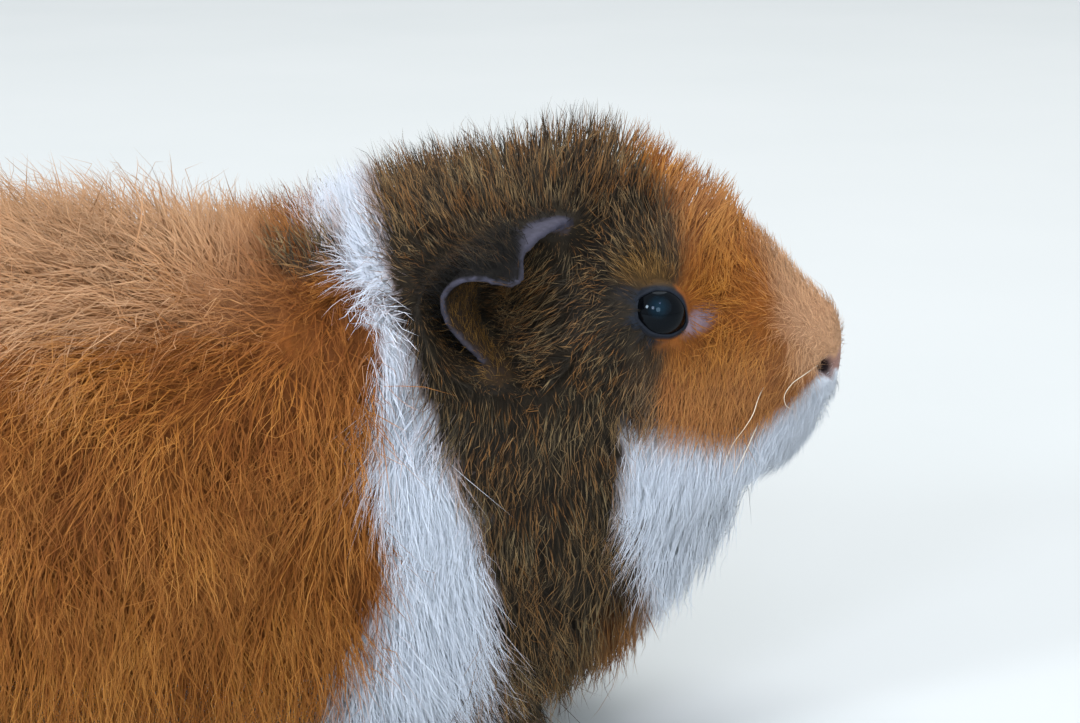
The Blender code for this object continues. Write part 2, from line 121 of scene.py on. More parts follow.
# The edges of the markings: how far ahead (x) each lies at each height (z).
FACE_EDGE = (
    (57, 112), (60, 95), (67, 94.5), (78, 95.5), (82, 94), (93, 98.3), (99, 99.3),
    (103, 97), (107, 93), (111, 88.5), (118, 84),
)
THROAT_EDGE = ((28, 95), (40, 91.5), (50, 88), (62, 88))
COLLAR_FRONT = (
    (8, 50), (14, 55), (22, 60.5), (35, 64.5), (47, 62.5), (53, 60.8), (64, 56),
    (80, 51.2), (90, 47), (98, 44.5), (104, 42), (112, 39.5),
)
COLLAR_BACK = (
    (14, 33), (25, 38), (37, 45.2), (53, 46.3), (64, 44), (75, 45), (84, 44.5),
    (90, 42), (95, 37), (98, 31.5), (102, 25.5), (106, 20),
)
CHIN_EDGE = (  # this one's height (z) at each x
    (90, 66), (100, 64.3), (108, 62.6), (112, 63.4), (119, 67.5), (125, 72.3), (130, 73.2),
)
COLLAR_PATCH, COLLAR_PATCH_SIZE = (30.5, 99.5), (8.2, 7.2)  # the dark patch high on its back edge, in x and z
CHEST_TINT = (92, 22)  # where ginger shows through the chest's agouti, in x and z
BROW_SPOT, BROW_SPOT_SIZE = (92.5, 21, 93.5), (1.5, 1, 1)  # gold fur over the eye

# Skin
FLESH = ("head", "neck", "trunk", "eye_right", "eye_left")
FLESH_GROWTH = 0.25  # swells the flesh's solids so that they meet
CORE_VOXEL = 1.7
SKIN_VOXEL = 0.62
SKIN_FACES = 150_000
CARRIER_FACES = 36_000
DRAWING_IN = 4  # the steps in which the skin is drawn in under the coat
NOSTRIL_DEPTH, WING_RISE, GROOVE_DEPTH, MOUTH_DEPTH, LIP_RISE = 3.2, 0.5, 0.9, 1.6, 0.3

# The kinds of hair. count: how many are in a piece. steps: parts along a hair,
# and hidden: those inside the coat, which aren't made. width: its greatest, about.
# reach: least and most, in coat depths. unruly, droop, gather: how far it strays,
# sinks and is drawn into its clump. wave, waves: how far it bends, and how often.
Kind = namedtuple("Kind", "count steps hidden width reach unruly droop gather wave waves")
LONG = Kind(6300, 6, 3, 0.17, (0.75, 1.18), 0.44, 0.14, 0.60, 0.065, 2.1)
UNDER = Kind(2900, 2, 0, 0.42, (0.62, 1.02), 0.40, 0.10, 0.35, 0.030, 0.8)
SHORT = Kind(6800, 2, 0, 0.175, (0.85, 1.40), 0.46, 0.06, 0.35, 0.060, 1.0)
STRAY = Kind(5000, 6, 3, 0.13, (1.00, 1.35), 0.55, 0.10, 0.25, 0.050, 1.3)
LAYER_KINDS = (LONG, UNDER, SHORT)
LAYERS = 7
CLUMPS = 11_000
CLUMP_STEPS, CLUMP_UNRULY, CLUMP_DROOP = 4, 0.30, 0.1  # of the hair in each clump's middle
LONGEST = 29
TALLEST = 1.4  # how far a tip may stand from the skin, in coat depths
STANDING, LOWEST, STEEPEST = 1.35, 0.16, 1.5  # a hair's slope at a lift of 1, least and most, in radians
SLOPE_CHANCE = 0.12  # how far chance changes the slope
ROOT_DEPTH = 0.35  # how far below the skin a hair starts
BULGE = 0.38  # how much further the forehead's hair stands up
BULGES = (((110, 0, 101), 16, 6), ((90, 0, 111), 22, 8))  # the forehead's and the crown's blob
HAIR_MARKING_SOFTNESS = 2.1
EAR_FUR_DEPTH, EAR_BACK_FUR = 1.1, 2.2  # inside an ear, and how much deeper behind it
SHORT_BELOW = 4.6  # a coat less deep than this is made of short hairs
THINNED = {  # how much thinner the coat is in places
    "nose": 0.93, "mouth": 0.85, "underside": 0.6, "before eye": 0.75, "ear": 0.35, "leg": 0.3, "foot": 0.6,
}
WHITE_CROWDING, NEAR_SIDE_CROWDING = 1.3, 0.35  # how much more hair grows there
WHITE_CALM, WHITE_FINENESS = 0.5, 0.28  # how much less a white hair strays, and how much finer it is
TOP_UNRULINESS = 0.7  # how much more the hair strays on the back's top
GIRTH = (-1.55, 1.1, 0.72)  # a hair's width along it, as a quadratic
FLATNESS = 0.7  # a hair's thickness, in widths
NORMAL_SOFTNESS = 0.88  # how far a hair is lit as the skin below it would be
WHITE_SOFTNESS = 0.97  # the same for a white hair
PATCH = 0.003  # a hair's patch on the coat's map
FLOOR_CLEARANCE = 1.2

# Eyes and lids
EYE_RADIUS = 5.8
EYE_REGION = 14  # how far round an eye's centre the lids can reach
CORNEA_RISE, CORNEA_SPREAD = 0.30, 0.75  # its height, and its reach in radians
EYE_LOOKS = (0.24, 0.95, 0.15)  # the way the left eye faces
EYE_PAINTED_REFLECTION = (0.0, 0.94, 0.34)  # the way the blue reflection painted into its pupil faces
EYE_GLOSS = (0.70, 0.85, 1.0, 1.0)  # the tint of its reflections
EYE_OPENING = (  # from ahead turning upwards, degrees, and how far out the lids' edge is
    (-30, 5.2), (-2, 4.15), (24, 3.75), (52, 3.7), (88, 3.9), (124, 4.4),
    (152, 5.1), (172, 5.3), (194, 4.6), (222, 4.15), (261, 3.95), (304, 4.2),
)
EYE_OPENING_BLEND = 20  # degrees over which one radius gives way to the next
LID_ROWS = (  # out from the opening's edge, how far above the eyeball
    (-0.5, -0.35), (-0.1, 0.04), (0.0, 0.16), (0.1, 0.27), (0.25, 0.34), (0.45, 0.35),
    (0.7, 0.3), (1.05, 0.2), (1.5, 0.08), (2.2, 0.0), (3.0, 0.0),
)
LID_STEPS = 112
LID_LEAVES, LID_LANDS = 0.5, 2.3  # where a lid leaves the eyeball and where it reaches the skin
LID_TUCK = 0.25  # how far its last row is below the skin

# Nose and ears, the left ones
NOSTRIL = (127.8, 7.4, 73.0)
NOSTRIL_LEANS = (-0.64, 0.76, 0.10)  # from its inner end to its outer end
EAR_HOLE = (68, 37, 88)  # the air just outside the ear's hole
EAR_HOLLOW, EAR_HOLLOW_SIZE = (67.5, 31, 88.6), (7.5, 12, 5.4)  # where shade is painted inside it
EAR_BACK, EAR_BACK_SIZE = (58, 34, 98), (14, 12, 10)  # where shade is painted on the fur behind it

WHISKERS = (  # the right side's, each from root to tip
    ((124.5, -10.2, 74.0), (121.8, -14.5, 73.4), (119.2, -17.5, 72.4), (117.6, -19.4, 70.6),
     (117.9, -20.0, 68.8), (119.3, -19.6, 68.0)),
    ((114.8, -15.5, 72.6), (112.9, -19.5, 70.3), (111.7, -22.0, 67.8), (110.1, -24.0, 65.8),
     (107.8, -25.5, 63.0), (106.3, -26.0, 59.4)),
    ((113.5, -17.0, 65.6), (111.3, -21.0, 62.2), (109.4, -23.5, 58.9), (108.4, -24.5, 57.0)),
)
WHISKER_RADIUS = 0.11
WHISKER_STEPS = 9  # between each two of those points

# Camera and studio
CAMERA_DISTANCE_M = 0.43  # to the near eye's surface
EYE_SURFACE_Y_M = -0.024
CAMERA_ELEVATION = 13.5  # degrees
CAMERA_LENS = 80
EYE_RIGHT_OF_MIDDLE = 0.1093  # in picture widths
EYE_ABOVE_MIDDLE = 0.0428
MIDDLE_M = (0.02, 0.0, 0.07)
HEAD_M = (0.094, -0.02, 0.087)
LAMPS = (  # place and aim in metres, size in metres, power in watts, colour
    ("overhead", (0.1, 0.7, 2.4), MIDDLE_M, 2.1, 34, (1.0, 0.985, 0.96)),
    ("fill", (0.9, -2.2, 1.4), MIDDLE_M, 3.2, 9, (0.98, 0.98, 1.0)),
    # The catchlights make the bright specks in the eye.
    ("catchlight", (-0.60, -0.52, 0.48), HEAD_M, 0.18, 3.7, (0.88, 0.95, 1.0)),
    ("catchlight", (-0.24, -0.74, 0.45), HEAD_M, 0.18, 1.8, (0.84, 0.85, 1.0)),
    ("catchlight", (0.08, -0.84, 0.36), HEAD_M, 0.25, 1.6, (0.66, 0.86, 1.0)),
    ("catchlight", (0.16, -0.70, 0.72), HEAD_M, 0.12, 0.4, (0.70, 0.70, 1.0)),
)
WORLD_STRENGTH = 0.95
FLOOR_RADIUS_M, FLOOR_Z_M = 6, -0.0004


# ---- small tools


def unit(vectors):
    return vectors / np.maximum(np.linalg.norm(vectors, axis=-1, keepdims=True), 1e-9)


def dot(first, second):
    return np.einsum("ij,ij->i", first, second)


def bell(value):
    return np.exp(-(value**2))


def smooth_step(low, high, value):
    t = np.clip((value - low) / (high - low), 0, 1)
    return t * t * (3 - 2 * t)


def blob(points, centre, size, edge, core):
    """A soft blob: 0 beyond the edge and 1 within the core, both in sizes from the centre."""
    return smooth_step(edge, core, np.linalg.norm((points - np.array(centre)) / size, axis=1))


def folded(points):
    """The points with the right side's folded over onto the left."""
    return np.column_stack([points[:, 0], np.abs(points[:, 1]), points[:, 2]])


def ripple(points, scale, seed):
    """Smooth noise from -1 to 1, made of a few waves in odd directions."""
    rng = np.random.default_rng(seed)
    total = np.zeros(len(points))
    for _ in range(6):
        direction = unit(rng.normal(size=3)) * rng.uniform(0.7, 1.6) / scale
        total += np.sin(points @ direction * 2 * math.pi + rng.uniform(0, 2 * math.pi))
    return total / 3.2


def read(items, key, width, kind=np.float32):
    """One property of all the items, a row for each."""
    found = np.empty(len(items) * width, kind)
    items.foreach_get(key, found)
    return found.reshape(-1, width)


def positions(mesh):
    return read(mesh.vertices, "co", 3).astype(float) / MM


def normals(mesh):
    return read(mesh.vertex_normals, "vector", 3).astype(float)


def edges(mesh):
    return read(mesh.edges, "vertices", 2, np.int32)


def set_positions(mesh, points):
    mesh.vertices.foreach_set("co", (points * MM).astype(np.float32).ravel())
    mesh.update()


def store(mesh, values):
    """Stores each of the values at the mesh's points, for its material to read."""
    for key, value in values.items():
        attribute = mesh.attributes.new(key, "FLOAT", "POINT")
        attribute.data.foreach_set("value", np.asarray(value, np.float32))


def spread_out(values, pairs, times):
    """Averages values over each vertex's neighbours, over and over."""
    count = len(values)
    here, there = np.concatenate([pairs, pairs[:, ::-1]]).T
    degree = np.maximum(np.bincount(here, minlength=count), 1)
    flat = values.reshape(count, -1).astype(float)
    for _ in range(times):
        sums = [np.bincount(here, column, count) for column in flat[there].T]
        flat = 0.5 * flat + 0.5 * np.stack(sums, 1) / degree[:, None]
    return flat.reshape(values.shape)


def add_object(name, data):
    obj = bpy.data.objects.new(name, data)
    bpy.context.scene.collection.objects.link(obj)
    return obj


def mesh_object(name, shape):
    """An object made from a bmesh, which this frees."""
    mesh = bpy.data.meshes.new(name)
    shape.to_mesh(mesh)
    shape.free()
    return add_object(name, mesh)


def apply_modifiers(obj):
    bpy.context.view_layer.update()
    graph = bpy.context.evaluated_depsgraph_get()
    mesh = bpy.data.meshes.new_from_object(obj.evaluated_get(graph))
    obj.modifiers.clear()
    obj.data = mesh


def remesh(obj, voxel):
    change = obj.modifiers.new("voxels", "REMESH")
    change.mode = "VOXEL"
    change.voxel_size = voxel * MM
    apply_modifiers(obj)


def thin_out(obj, faces):
    change = obj.modifiers.new("fewer", "DECIMATE")
    obj.data.calc_loop_triangles()
    change.ratio = min(1.0, faces / max(len(obj.data.loop_triangles), 1))
    change.use_collapse_triangulate = True
    apply_modifiers(obj)


def joined(name, meshes_and_growth):
    """One object from several closed meshes, each swollen by its growth."""
    shape = bmesh.new()
    for mesh, growth in meshes_and_growth:
        part = bmesh.new()
        part.from_mesh(mesh)
        bmesh.ops.remove_doubles(part, verts=part.verts, dist=0.01 * MM)
        part.normal_update()
        for vert in part.verts:
            vert.co += vert.normal * growth * MM
        holder = bpy.data.meshes.new("part")
        part.to_mesh(holder)
        part.free()
        shape.from_mesh(holder)
        bpy.data.meshes.remove(holder)
    return mesh_object(name, shape)


def point_tree(points):
    tree = kdtree.KDTree(len(points))
    for i, point in enumerate(points):
        tree.insert(point, i)
    tree.balance()
    return tree


def face_corners(mesh):
    return [tuple(face.vertices) for face in mesh.polygons]


def surface_tree(points, faces):
    return bvhtree.BVHTree.FromPolygons([tuple(p) for p in points], faces)


def distances(tree, points):
    return np.array([tree.find_nearest(Vector(p))[3] for p in points])


def distances_to(nodes, names, points):
    """How far each point is from the nearest of the named nodes."""
    corners, faces = [], []
    for name in names:
        mesh = nodes[name].data
        faces += [[v + len(corners) for v in face] for face in face_corners(mesh)]
        corners += list(positions(mesh))
    return distances(surface_tree(corners, faces), points)


# ---- the coat's plan


def planned(points):
    """The coat's depth, lift and way at each point."""
    distance = np.linalg.norm(folded(points)[:, None, :] - MIDDLES[None], axis=2) / SPREADS
    nearest = distance.min(axis=1, keepdims=True)
    shares = np.exp(-PLACE_FALLOFF * (distance**2 - nearest**2))
    shares = shares / shares.sum(axis=1, keepdims=True)
    way = shares @ unit(WAYS)
    way[:, 1] *= np.where(points[:, 1] < 0, -1.0, 1.0) * smooth_step(0, 4, np.abs(points[:, 1]))
    return shares @ DEPTHS, shares @ LIFTS, way


def edge_at(edge, along):
    places, values = zip(*edge)
    return np.interp(along, places, values)


def markings(points, softness=1.0):
    """The shares of white, agouti and pale gold in the coat. The rest is ginger."""
    wiggle = ripple(points, 9, 3) * 1.1 + ripple(points, 3.5, 4) * 0.6
    x, side, z = folded(points).T
    x, z = x + wiggle, z + 0.6 * wiggle
    profile = np.stack([x, z], 1)

    def ahead_of(line):
        return smooth_step(-softness, softness, x - edge_at(line, z))

    chin = smooth_step(-softness, softness, edge_at(CHIN_EDGE, x) - z) * ahead_of(THROAT_EDGE)
    before_collar = ahead_of(COLLAR_FRONT)
    collar = (1 - before_collar) * ahead_of(COLLAR_BACK)
    patch = blob(profile, COLLAR_PATCH, COLLAR_PATCH_SIZE, 1.2, 0.75) * smooth_step(8, 14, side)
    white = np.clip(collar * (1 - patch) + chin, 0, 1)
    agouti = np.clip(before_collar * (1 - ahead_of(FACE_EDGE)) + patch, 0, 1) * (1 - white)
    agouti *= 1 - 0.55 * blob(profile, CHEST_TINT, 1, 14, 4)
    brow = 0.75 * blob(np.stack([x, side, z], 1), BROW_SPOT, BROW_SPOT_SIZE, 5.5, 1.5)
    return white, agouti, brow


def pale_share(points):
    """The nose's pale top and front, and the cheek and crest, which are a little pale."""
    x, _, z = points.T
    along = x + 0.25 * (z - 80) + 0.9 * ripple(points, 6, 5)
    nose = smooth_step(115.5, 122, along) * smooth_step(71, 75, z)
    cheek = smooth_step(86, 94, x) * smooth_step(84, 74, z)
    crest = smooth_step(92, 99, x) * smooth_step(90, 103, z)
    return np.maximum.reduce([nose, 0.15 * cheek, 0.20 * crest])


def ginger_drifts_and_shade(points):
    """Darker drifts in the ginger coat, with painted shade in the crease along the flank and behind the
    collar: 0 is bright and 1 is dark rust.
    """
    drift = 0.55 * ripple(points, 24, 11) + 0.45 * ripple(points * (1, 1, 0.6), 9, 12)
    # Painted shade: in the crease along the flank, and behind the collar.
    crease_shade = smooth_step(14, 4, np.abs(points[:, 2] - 72)) * smooth_step(60, 20, np.abs(points[:, 0] + 2))
    shade_behind_collar = blob(points * (1, 0, 0.7), (27, 0, 58.8), 1, 18, 5)
    face = smooth_step(80, 96, points[:, 0])
    depth = 0.50 + 0.85 * drift * (1 - 0.6 * face)
    return np.clip(depth + 0.2 * crease_shade + 0.45 * shade_behind_collar - 0.60 * face, 0, 1)


def top_light(points):
    """The back's top, painted lighter: partly paler hair, partly painted light from above."""
    x, z = points[:, 0], points[:, 2] + 3 * ripple(points, 16, 6)
    forwards = 0.4 + 0.6 * smooth_step(-110, -30, x)
    return smooth_step(80, 92, z) * smooth_step(32, 8, x) * forwards


def brow_bulge(points):
    """The forehead's and crown's fur, which stands up further than the coat round it."""
    return np.maximum.reduce([blob(points, centre, 1, edge, core) for centre, edge, core in BULGES])


def coat_values(points, roots, ear, inside, softness=1.0):
    """The coat's markings and shades, as its materials read them."""
    white, agouti, brow = markings(points, softness)
    return {
        "white": white * (1 - ear),
        "agouti": agouti * (1 - ear) + ear,
        "gold": np.clip(brow + inside, 0, 1),
        "pale": pale_share(roots),
        # the back's top painted lighter, partly for paler hair and partly for light from above
        "light": top_light(points),
        # the ginger's darker drifts, with painted shade along the flank's crease and behind the collar
        "deep": ginger_drifts_and_shade(roots),
    }


# ---- the face's details


def nostril_reach(points):
    """How far each point is from the near nostril's middle, 1 at its edge."""
    offset = folded(points) - NOSTRIL
    outwards = offset @ NOSTRIL_LEANS
    rise = offset[:, 2] - 0.35 * outwards + 0.10 * outwards**2
    inwards = offset @ np.cross(NOSTRIL_LEANS, (0, 0, 1))
    return np.linalg.norm(np.stack([outwards / 2.9, rise / 1.5, inwards / 5.5], 1), axis=1)


def nose_pad(points):
    """The bare skin between the nostrils, and the groove that runs down from it."""
    x, side, z = folded(points).T
    half_width = 0.6 + 5.0 * smooth_step(69.8, 73.2, z)
    across = smooth_step(1.2, 0.85, side / half_width)
    upper = smooth_step(76.8, 75.4, z + 0.035 * side**2)
    pad = across * upper * smooth_step(65.2, 66.4, z) * smooth_step(121, 124, x)
    return np.maximum(pad, 0.8 * smooth_step(1.6, 1.2, nostril_reach(points)))


def mouth_line(points):
    """How near each point is to the closed mouth's line, 1 on it."""
    x, side, z = folded(points).T
    rise = z - (65.8 - 0.05 * side**2)
    return bell(rise / 0.8) * smooth_step(8.5, 5, side) * smooth_step(112, 118, x)


def bare_patch(points):
    """The thinly haired skin before the eye."""
    x, side, z = folded(points).T
    tilted = np.stack([x, z - 0.25 * (x - 101.6)], 1)
    return blob(tilted, (101.6, 84.8), (3.4, 2.2), 1.45, 0.4) * (side > 12)


def hollow_shade(points):
    """How far each point is in the shade painted into an ear's hollow."""
    return blob(folded(points), EAR_HOLLOW, EAR_HOLLOW_SIZE, 1.2, 0.75)


def ear_shade(points, ear, inside):
    """Where painted shade makes the coat nearly black: the ear's hole, its back and the fur behind it."""
    behind = blob(folded(points), EAR_BACK, EAR_BACK_SIZE, 1.2, 0.4)
    return np.maximum.reduce([hollow_shade(points), 0.95 * ear * (1 - inside), 0.8 * behind])


def sculpt_face(points, normal):
    """Nostrils, the groove under the nose, the mouth's line and the lips."""
    x, side, z = folded(points).T
    nostril = bell(nostril_reach(points))
    wing = bell(nostril_reach(points - (0, 0, 3.0)) / 1.1)
    groove = bell(side / 0.8) * smooth_step(63, 66, z) * smooth_step(76, 72, z) * smooth_step(112, 118, x)
    lip = mouth_line(points - (0, 0, 2.6))
    change = WING_RISE * wing + LIP_RISE * lip - NOSTRIL_DEPTH * nostril
    change = change - GROOVE_DEPTH * groove - MOUTH_DEPTH * mouth_line(points)
    return points + normal * change[:, None]


# ---- eyes and lids


def eye_frame(name, sign):
    """The eye's centre, the way it faces, and the ahead and up directions across it."""
    low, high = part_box("eye_" + name)
    centre = np.array((low + high) / 2) / MM
    looks = unit(np.array(EYE_LOOKS) * (1, sign, 1))
    ahead = np.array((1.0, 0.0, 0.0))
    ahead = unit(ahead - looks * (ahead @ looks))
    up = np.cross(looks, ahead) * -sign
    return centre, looks, ahead, unit(up)


def opening_radius(angle):
    """How far the lids' edge is from the eye's middle, by the angle from ahead to up."""
    turns, radii = (np.array(column, float) for column in zip(*EYE_OPENING))
    gap = (np.degrees(angle)[..., None] - turns + 180) % 360 - 180
    share = bell(gap / EYE_OPENING_BLEND)
    return (share * radii).sum(axis=-1) / share.sum(axis=-1)


def turn_between(angle, degrees):
    """How far each angle is from the one in degrees, in radians."""
    return np.abs((angle - math.radians(degrees) + math.pi) % (2 * math.pi) - math.pi)


def lid_darkness(out, angle):
    """How dark the lids' skin is. The dark reaches further behind the eye than before it."""
    behind = np.clip(1 - turn_between(angle, 171) / 0.85, 0, 1)
    before = np.clip(1.3 - turn_between(angle, -4) / 0.6, 0, 1)
    return smooth_step(1.25, 0.55, out - (1.7 * behind**1.1 - 0.55 * before))


def lid_height(out, above, radius, ground):
    """How far a lid's point is from the plane through the eye's centre."""
    eyeball = math.sqrt(max((EYE_RADIUS + above) ** 2 - radius**2, 0.3))
    share = float(smooth_step(LID_LEAVES, LID_LANDS, out))
    if ground is None:
        ground = eyeball
    height = (1 - share) * eyeball + share * (ground - LID_TUCK * (out > LID_LANDS))
    covers = math.sqrt(max((EYE_RADIUS + 0.3) ** 2 - radius**2, 0))
    return max(height, covers) if out > LID_LEAVES and covers > 0 else height


def make_lids(tree):
    """Rings of lid round both eyes: points, faces and how dark each point is."""
    points, faces, dark = [], [], []
    for name, sign in SIDES:
        centre, looks, ahead, up = eye_frame(name, sign)
        first = len(points)
        for out, above in LID_ROWS:
            for step in range(LID_STEPS):
                angle = 2 * math.pi * step / LID_STEPS - math.pi
                radius = float(opening_radius(angle)) + out
                over = centre + radius * (math.cos(angle) * ahead + math.sin(angle) * up)
                hit = tree.ray_cast(Vector(over + looks * EYE_REGION), Vector(-looks), EYE_REGION + 2)[0]
                ground = (np.array(hit) - centre) @ looks if hit else None
                points.append(over + looks * lid_height(out, above, radius, ground))
                dark.append(float(lid_darkness(out, angle)))
        for row in range(len(LID_ROWS) - 1):
            for step in range(LID_STEPS):
                a = first + row * LID_STEPS + step
                b = first + row * LID_STEPS + (step + 1) % LID_STEPS
                face = (a, b, b + LID_STEPS, a + LID_STEPS)
                faces.append(face if sign > 0 else face[::-1])
    return points, faces, dark


def make_eye(name, sign):
    """A finer eyeball with a cornea that bulges a little."""
    centre, looks, _, _ = eye_frame(name, sign)
    shape = bmesh.new()
    bmesh.ops.create_icosphere(shape, subdivisions=5, radius=1)
    for vert in shape.verts:
        angle = math.acos(max(-1.0, min(1.0, float(np.array(vert.co) @ looks))))
        bulge = CORNEA_RISE * math.exp(-((angle / CORNEA_SPREAD) ** 4))
        vert.co = Vector((centre + np.array(vert.co) * (EYE_RADIUS - 0.05 + bulge)) * MM)
    eye = mesh_object("eyeball_" + name, shape)
    eye.data.shade_smooth()
    # the way the blue reflection painted into the pupil faces
    reflection_way = unit(np.array(EYE_PAINTED_REFLECTION) * (1, sign, 1))
    eye.data.materials.append(eye_material(name, centre, reflection_way))
    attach(eye, "root")
    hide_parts("eye_" + name)


# ---- skin


def core_depth(nodes, points):
    """The coat's planned depth, less where ears, legs and eyes leave it no room."""
    tree = point_tree(np.concatenate([positions(nodes[name].data) for name in EAR_NODES + LEG_NODES]))
    room = np.array([tree.find(p)[2] for p in points])
    depth = np.minimum(planned(points)[0], ROOM_AT_ROOTS + ROOM_SLOPE * room)
    for name, sign in SIDES:
        room = np.linalg.norm(points - eye_frame(name, sign)[0], axis=1)
        depth = np.minimum(depth, ROOM_AT_EYES + ROOM_SLOPE_AT_EYES * np.maximum(room - EYE_RADIUS, 0))
    return depth


def make_core(nodes):
    """Head, neck and trunk as one surface, drawn in by the depth of their coat.

    Also gives the surface that the coat's tips reach, for measuring its depth.
    """
    core = joined("core", [(nodes[name].data, FLESH_GROWTH) for name in FLESH])
    remesh(core, CORE_VOXEL)
    pairs = edges(core.data)
    points = spread_out(positions(core.data), pairs, 6)
    set_positions(core.data, points)
    outline = surface_tree(points, face_corners(core.data))
    depth = spread_out(core_depth(nodes, points), pairs, 3)
    for _ in range(DRAWING_IN):
        points = points - normals(core.data) * (depth / DRAWING_IN)[:, None]
        points = spread_out(points, pairs, 1)
        set_positions(core.data, points)
    return core, outline


def make_skin(nodes):
    """Core, legs, feet and ears as one surface, with the face's details."""
    core, outline = make_core(nodes)
    parts = [(core.data, 0.0)]
    for names, growth in ((LEG_NODES, -LEG_DEPTH), (FOOT_NODES, -FOOT_DEPTH), (EAR_NODES, 0.0)):
        parts += [(nodes[name].data, growth) for name in names]
    skin = joined("skin", parts)
    bpy.data.objects.remove(core, do_unlink=True)
    remesh(skin, SKIN_VOXEL)
    points = spread_out(positions(skin.data), edges(skin.data), 2)
    set_positions(skin.data, points)
    set_positions(skin.data, sculpt_face(points, normals(skin.data)))
    thin_out(skin, SKIN_FACES)
    skin.data.shade_smooth()
    return skin, outline


def add_lids(mesh):
    """Adds the lids to the skin's mesh, and gives how dark each of their points is."""
    points, faces, dark = make_lids(surface_tree(positions(mesh), face_corners(mesh)))
    shape = bmesh.new()
    shape.from_mesh(mesh)
    added = [shape.verts.new(Vector(p * MM)) for p in points]
    for face in faces:
        shape.faces.new([added[i] for i in face]).smooth = True
    shape.to_mesh(mesh)
    shape.free()
    return dark


def finish_skin(skin, field):
    """Adds the lids to the skin, and stores the values its material reads."""
    mesh = skin.data
    near = point_tree(field["point"])
    nearest = np.array([near.find(p)[1] for p in positions(mesh)])
    dark = add_lids(mesh)
    points = positions(mesh)
    on_lids = np.zeros(len(dark))
    laid = {key: np.append(field[key][nearest], on_lids) for key in ("ear", "inside", "edge", "foot", "dim")}
    values = coat_values(points, points, laid["ear"], laid.pop("inside"))
    values.update(laid)
    values["lid"] = np.append(field["lid"][nearest], dark)
    values["pad"] = nose_pad(points)
    values["bare"] = bare_patch(points)
    # Painted shade in the nostrils' pits and along the mouth's line.
    nostril = smooth_step(1.15, 0.8, nostril_reach(points))
    values["nostril"] = np.maximum(nostril, 0.55 * mouth_line(points))
    store(mesh, values)
    mesh.shade_smooth()
    mesh.materials.clear()
    mesh.materials.append(skin_material())


# ---- where the coat grows


def unwrapped_carrier(skin):
    """A lighter copy of the skin with an unwrap, for the coat to be laid out on."""
    carrier = add_object("carrier", skin.data.copy())
    thin_out(carrier, CARRIER_FACES)
    bpy.context.view_layer.objects.active = carrier
    carrier.select_set(True)
    bpy.ops.object.mode_set(mode="EDIT")
    bpy.ops.mesh.select_all(action="SELECT")
    bpy.ops.uv.smart_project(angle_limit=math.radians(66), island_margin=0.004)
    bpy.ops.object.mode_set(mode="OBJECT")
    return carrier


def away_from_eye(points, way):
    """Turns the way of the hair round the eyes, so that it parts before them."""
    for name, sign in SIDES:
        centre, looks, _, _ = eye_frame(name, sign)
        offset = points - centre
        offset = offset - (offset @ looks)[:, None] * looks
        distance = np.linalg.norm(points - centre, axis=1)
        share = smooth_step(12.5, 6.5, distance)[:, None]
        way = way * (1 - 0.75 * share) + unit(offset) * share
    return way


def round_eyes(points):
    """How far out from the lids' edge each point is, and how dark the lids make it."""
    reach, lid = np.full(len(points), 99.0), np.zeros(len(points))
    for name, sign in SIDES:
        centre, looks, ahead, up = eye_frame(name, sign)
        offset = points - centre
        across, rise = offset @ ahead, offset @ up
        angle = np.arctan2(rise, across)
        out = np.hypot(across, rise) - opening_radius(angle)
        near = (offset @ looks > -3) & (np.linalg.norm(offset, axis=1) < EYE_REGION)
        reach = np.where(near, out, reach)
        lid = np.where(near, lid_darkness(out, angle), lid)
    return reach, lid


def limb_shares(nodes, points):
    """How far each point is on an ear, on a leg and on a foot."""
    away = [distances_to(nodes, names, points) for names in (EAR_NODES, LEG_NODES, FOOT_NODES)]
    ear = smooth_step(1.3, 0.7, away[0]) * (points[:, 2] > 75)
    foot = smooth_step(1.2, 0.5, away[2])
    return ear, smooth_step(2.9, 1.5, away[1]) * (1 - foot), foot


def ear_edge(points, normal, pairs, ear):
    """The ears' bare rim, where the surface turns sharply, and the lobe folded over at the top."""
    calm = spread_out(normal, pairs, 10)
    edge = smooth_step(0.74, 0.52, np.linalg.norm(calm, axis=1))
    wide = smooth_step(0.84, 0.66, np.linalg.norm(spread_out(calm, pairs, 22), axis=1))
    lobe = smooth_step(68.5, 71.5, points[:, 0]) * smooth_step(96, 98, points[:, 2])
    return np.maximum(edge, wide * lobe) * ear


def thickness(points, normal, from_lids):
    """How thickly the coat grows: thinly on nose, lips and soles, and before the eye."""
    density = smooth_step(0.0, 0.35, from_lids) * smooth_step(1.0, 1.35, nostril_reach(points))
    density *= 1 - THINNED["nose"] * nose_pad(points)
    density *= 1 - THINNED["mouth"] * mouth_line(points)
    density *= 1 - THINNED["underside"] * smooth_step(-0.80, -0.97, normal[:, 2])
    density *= 1 - THINNED["before eye"] * bare_patch(points)
    return density * (1 - smooth_step(1.5, 0.6, points[:, 2]))


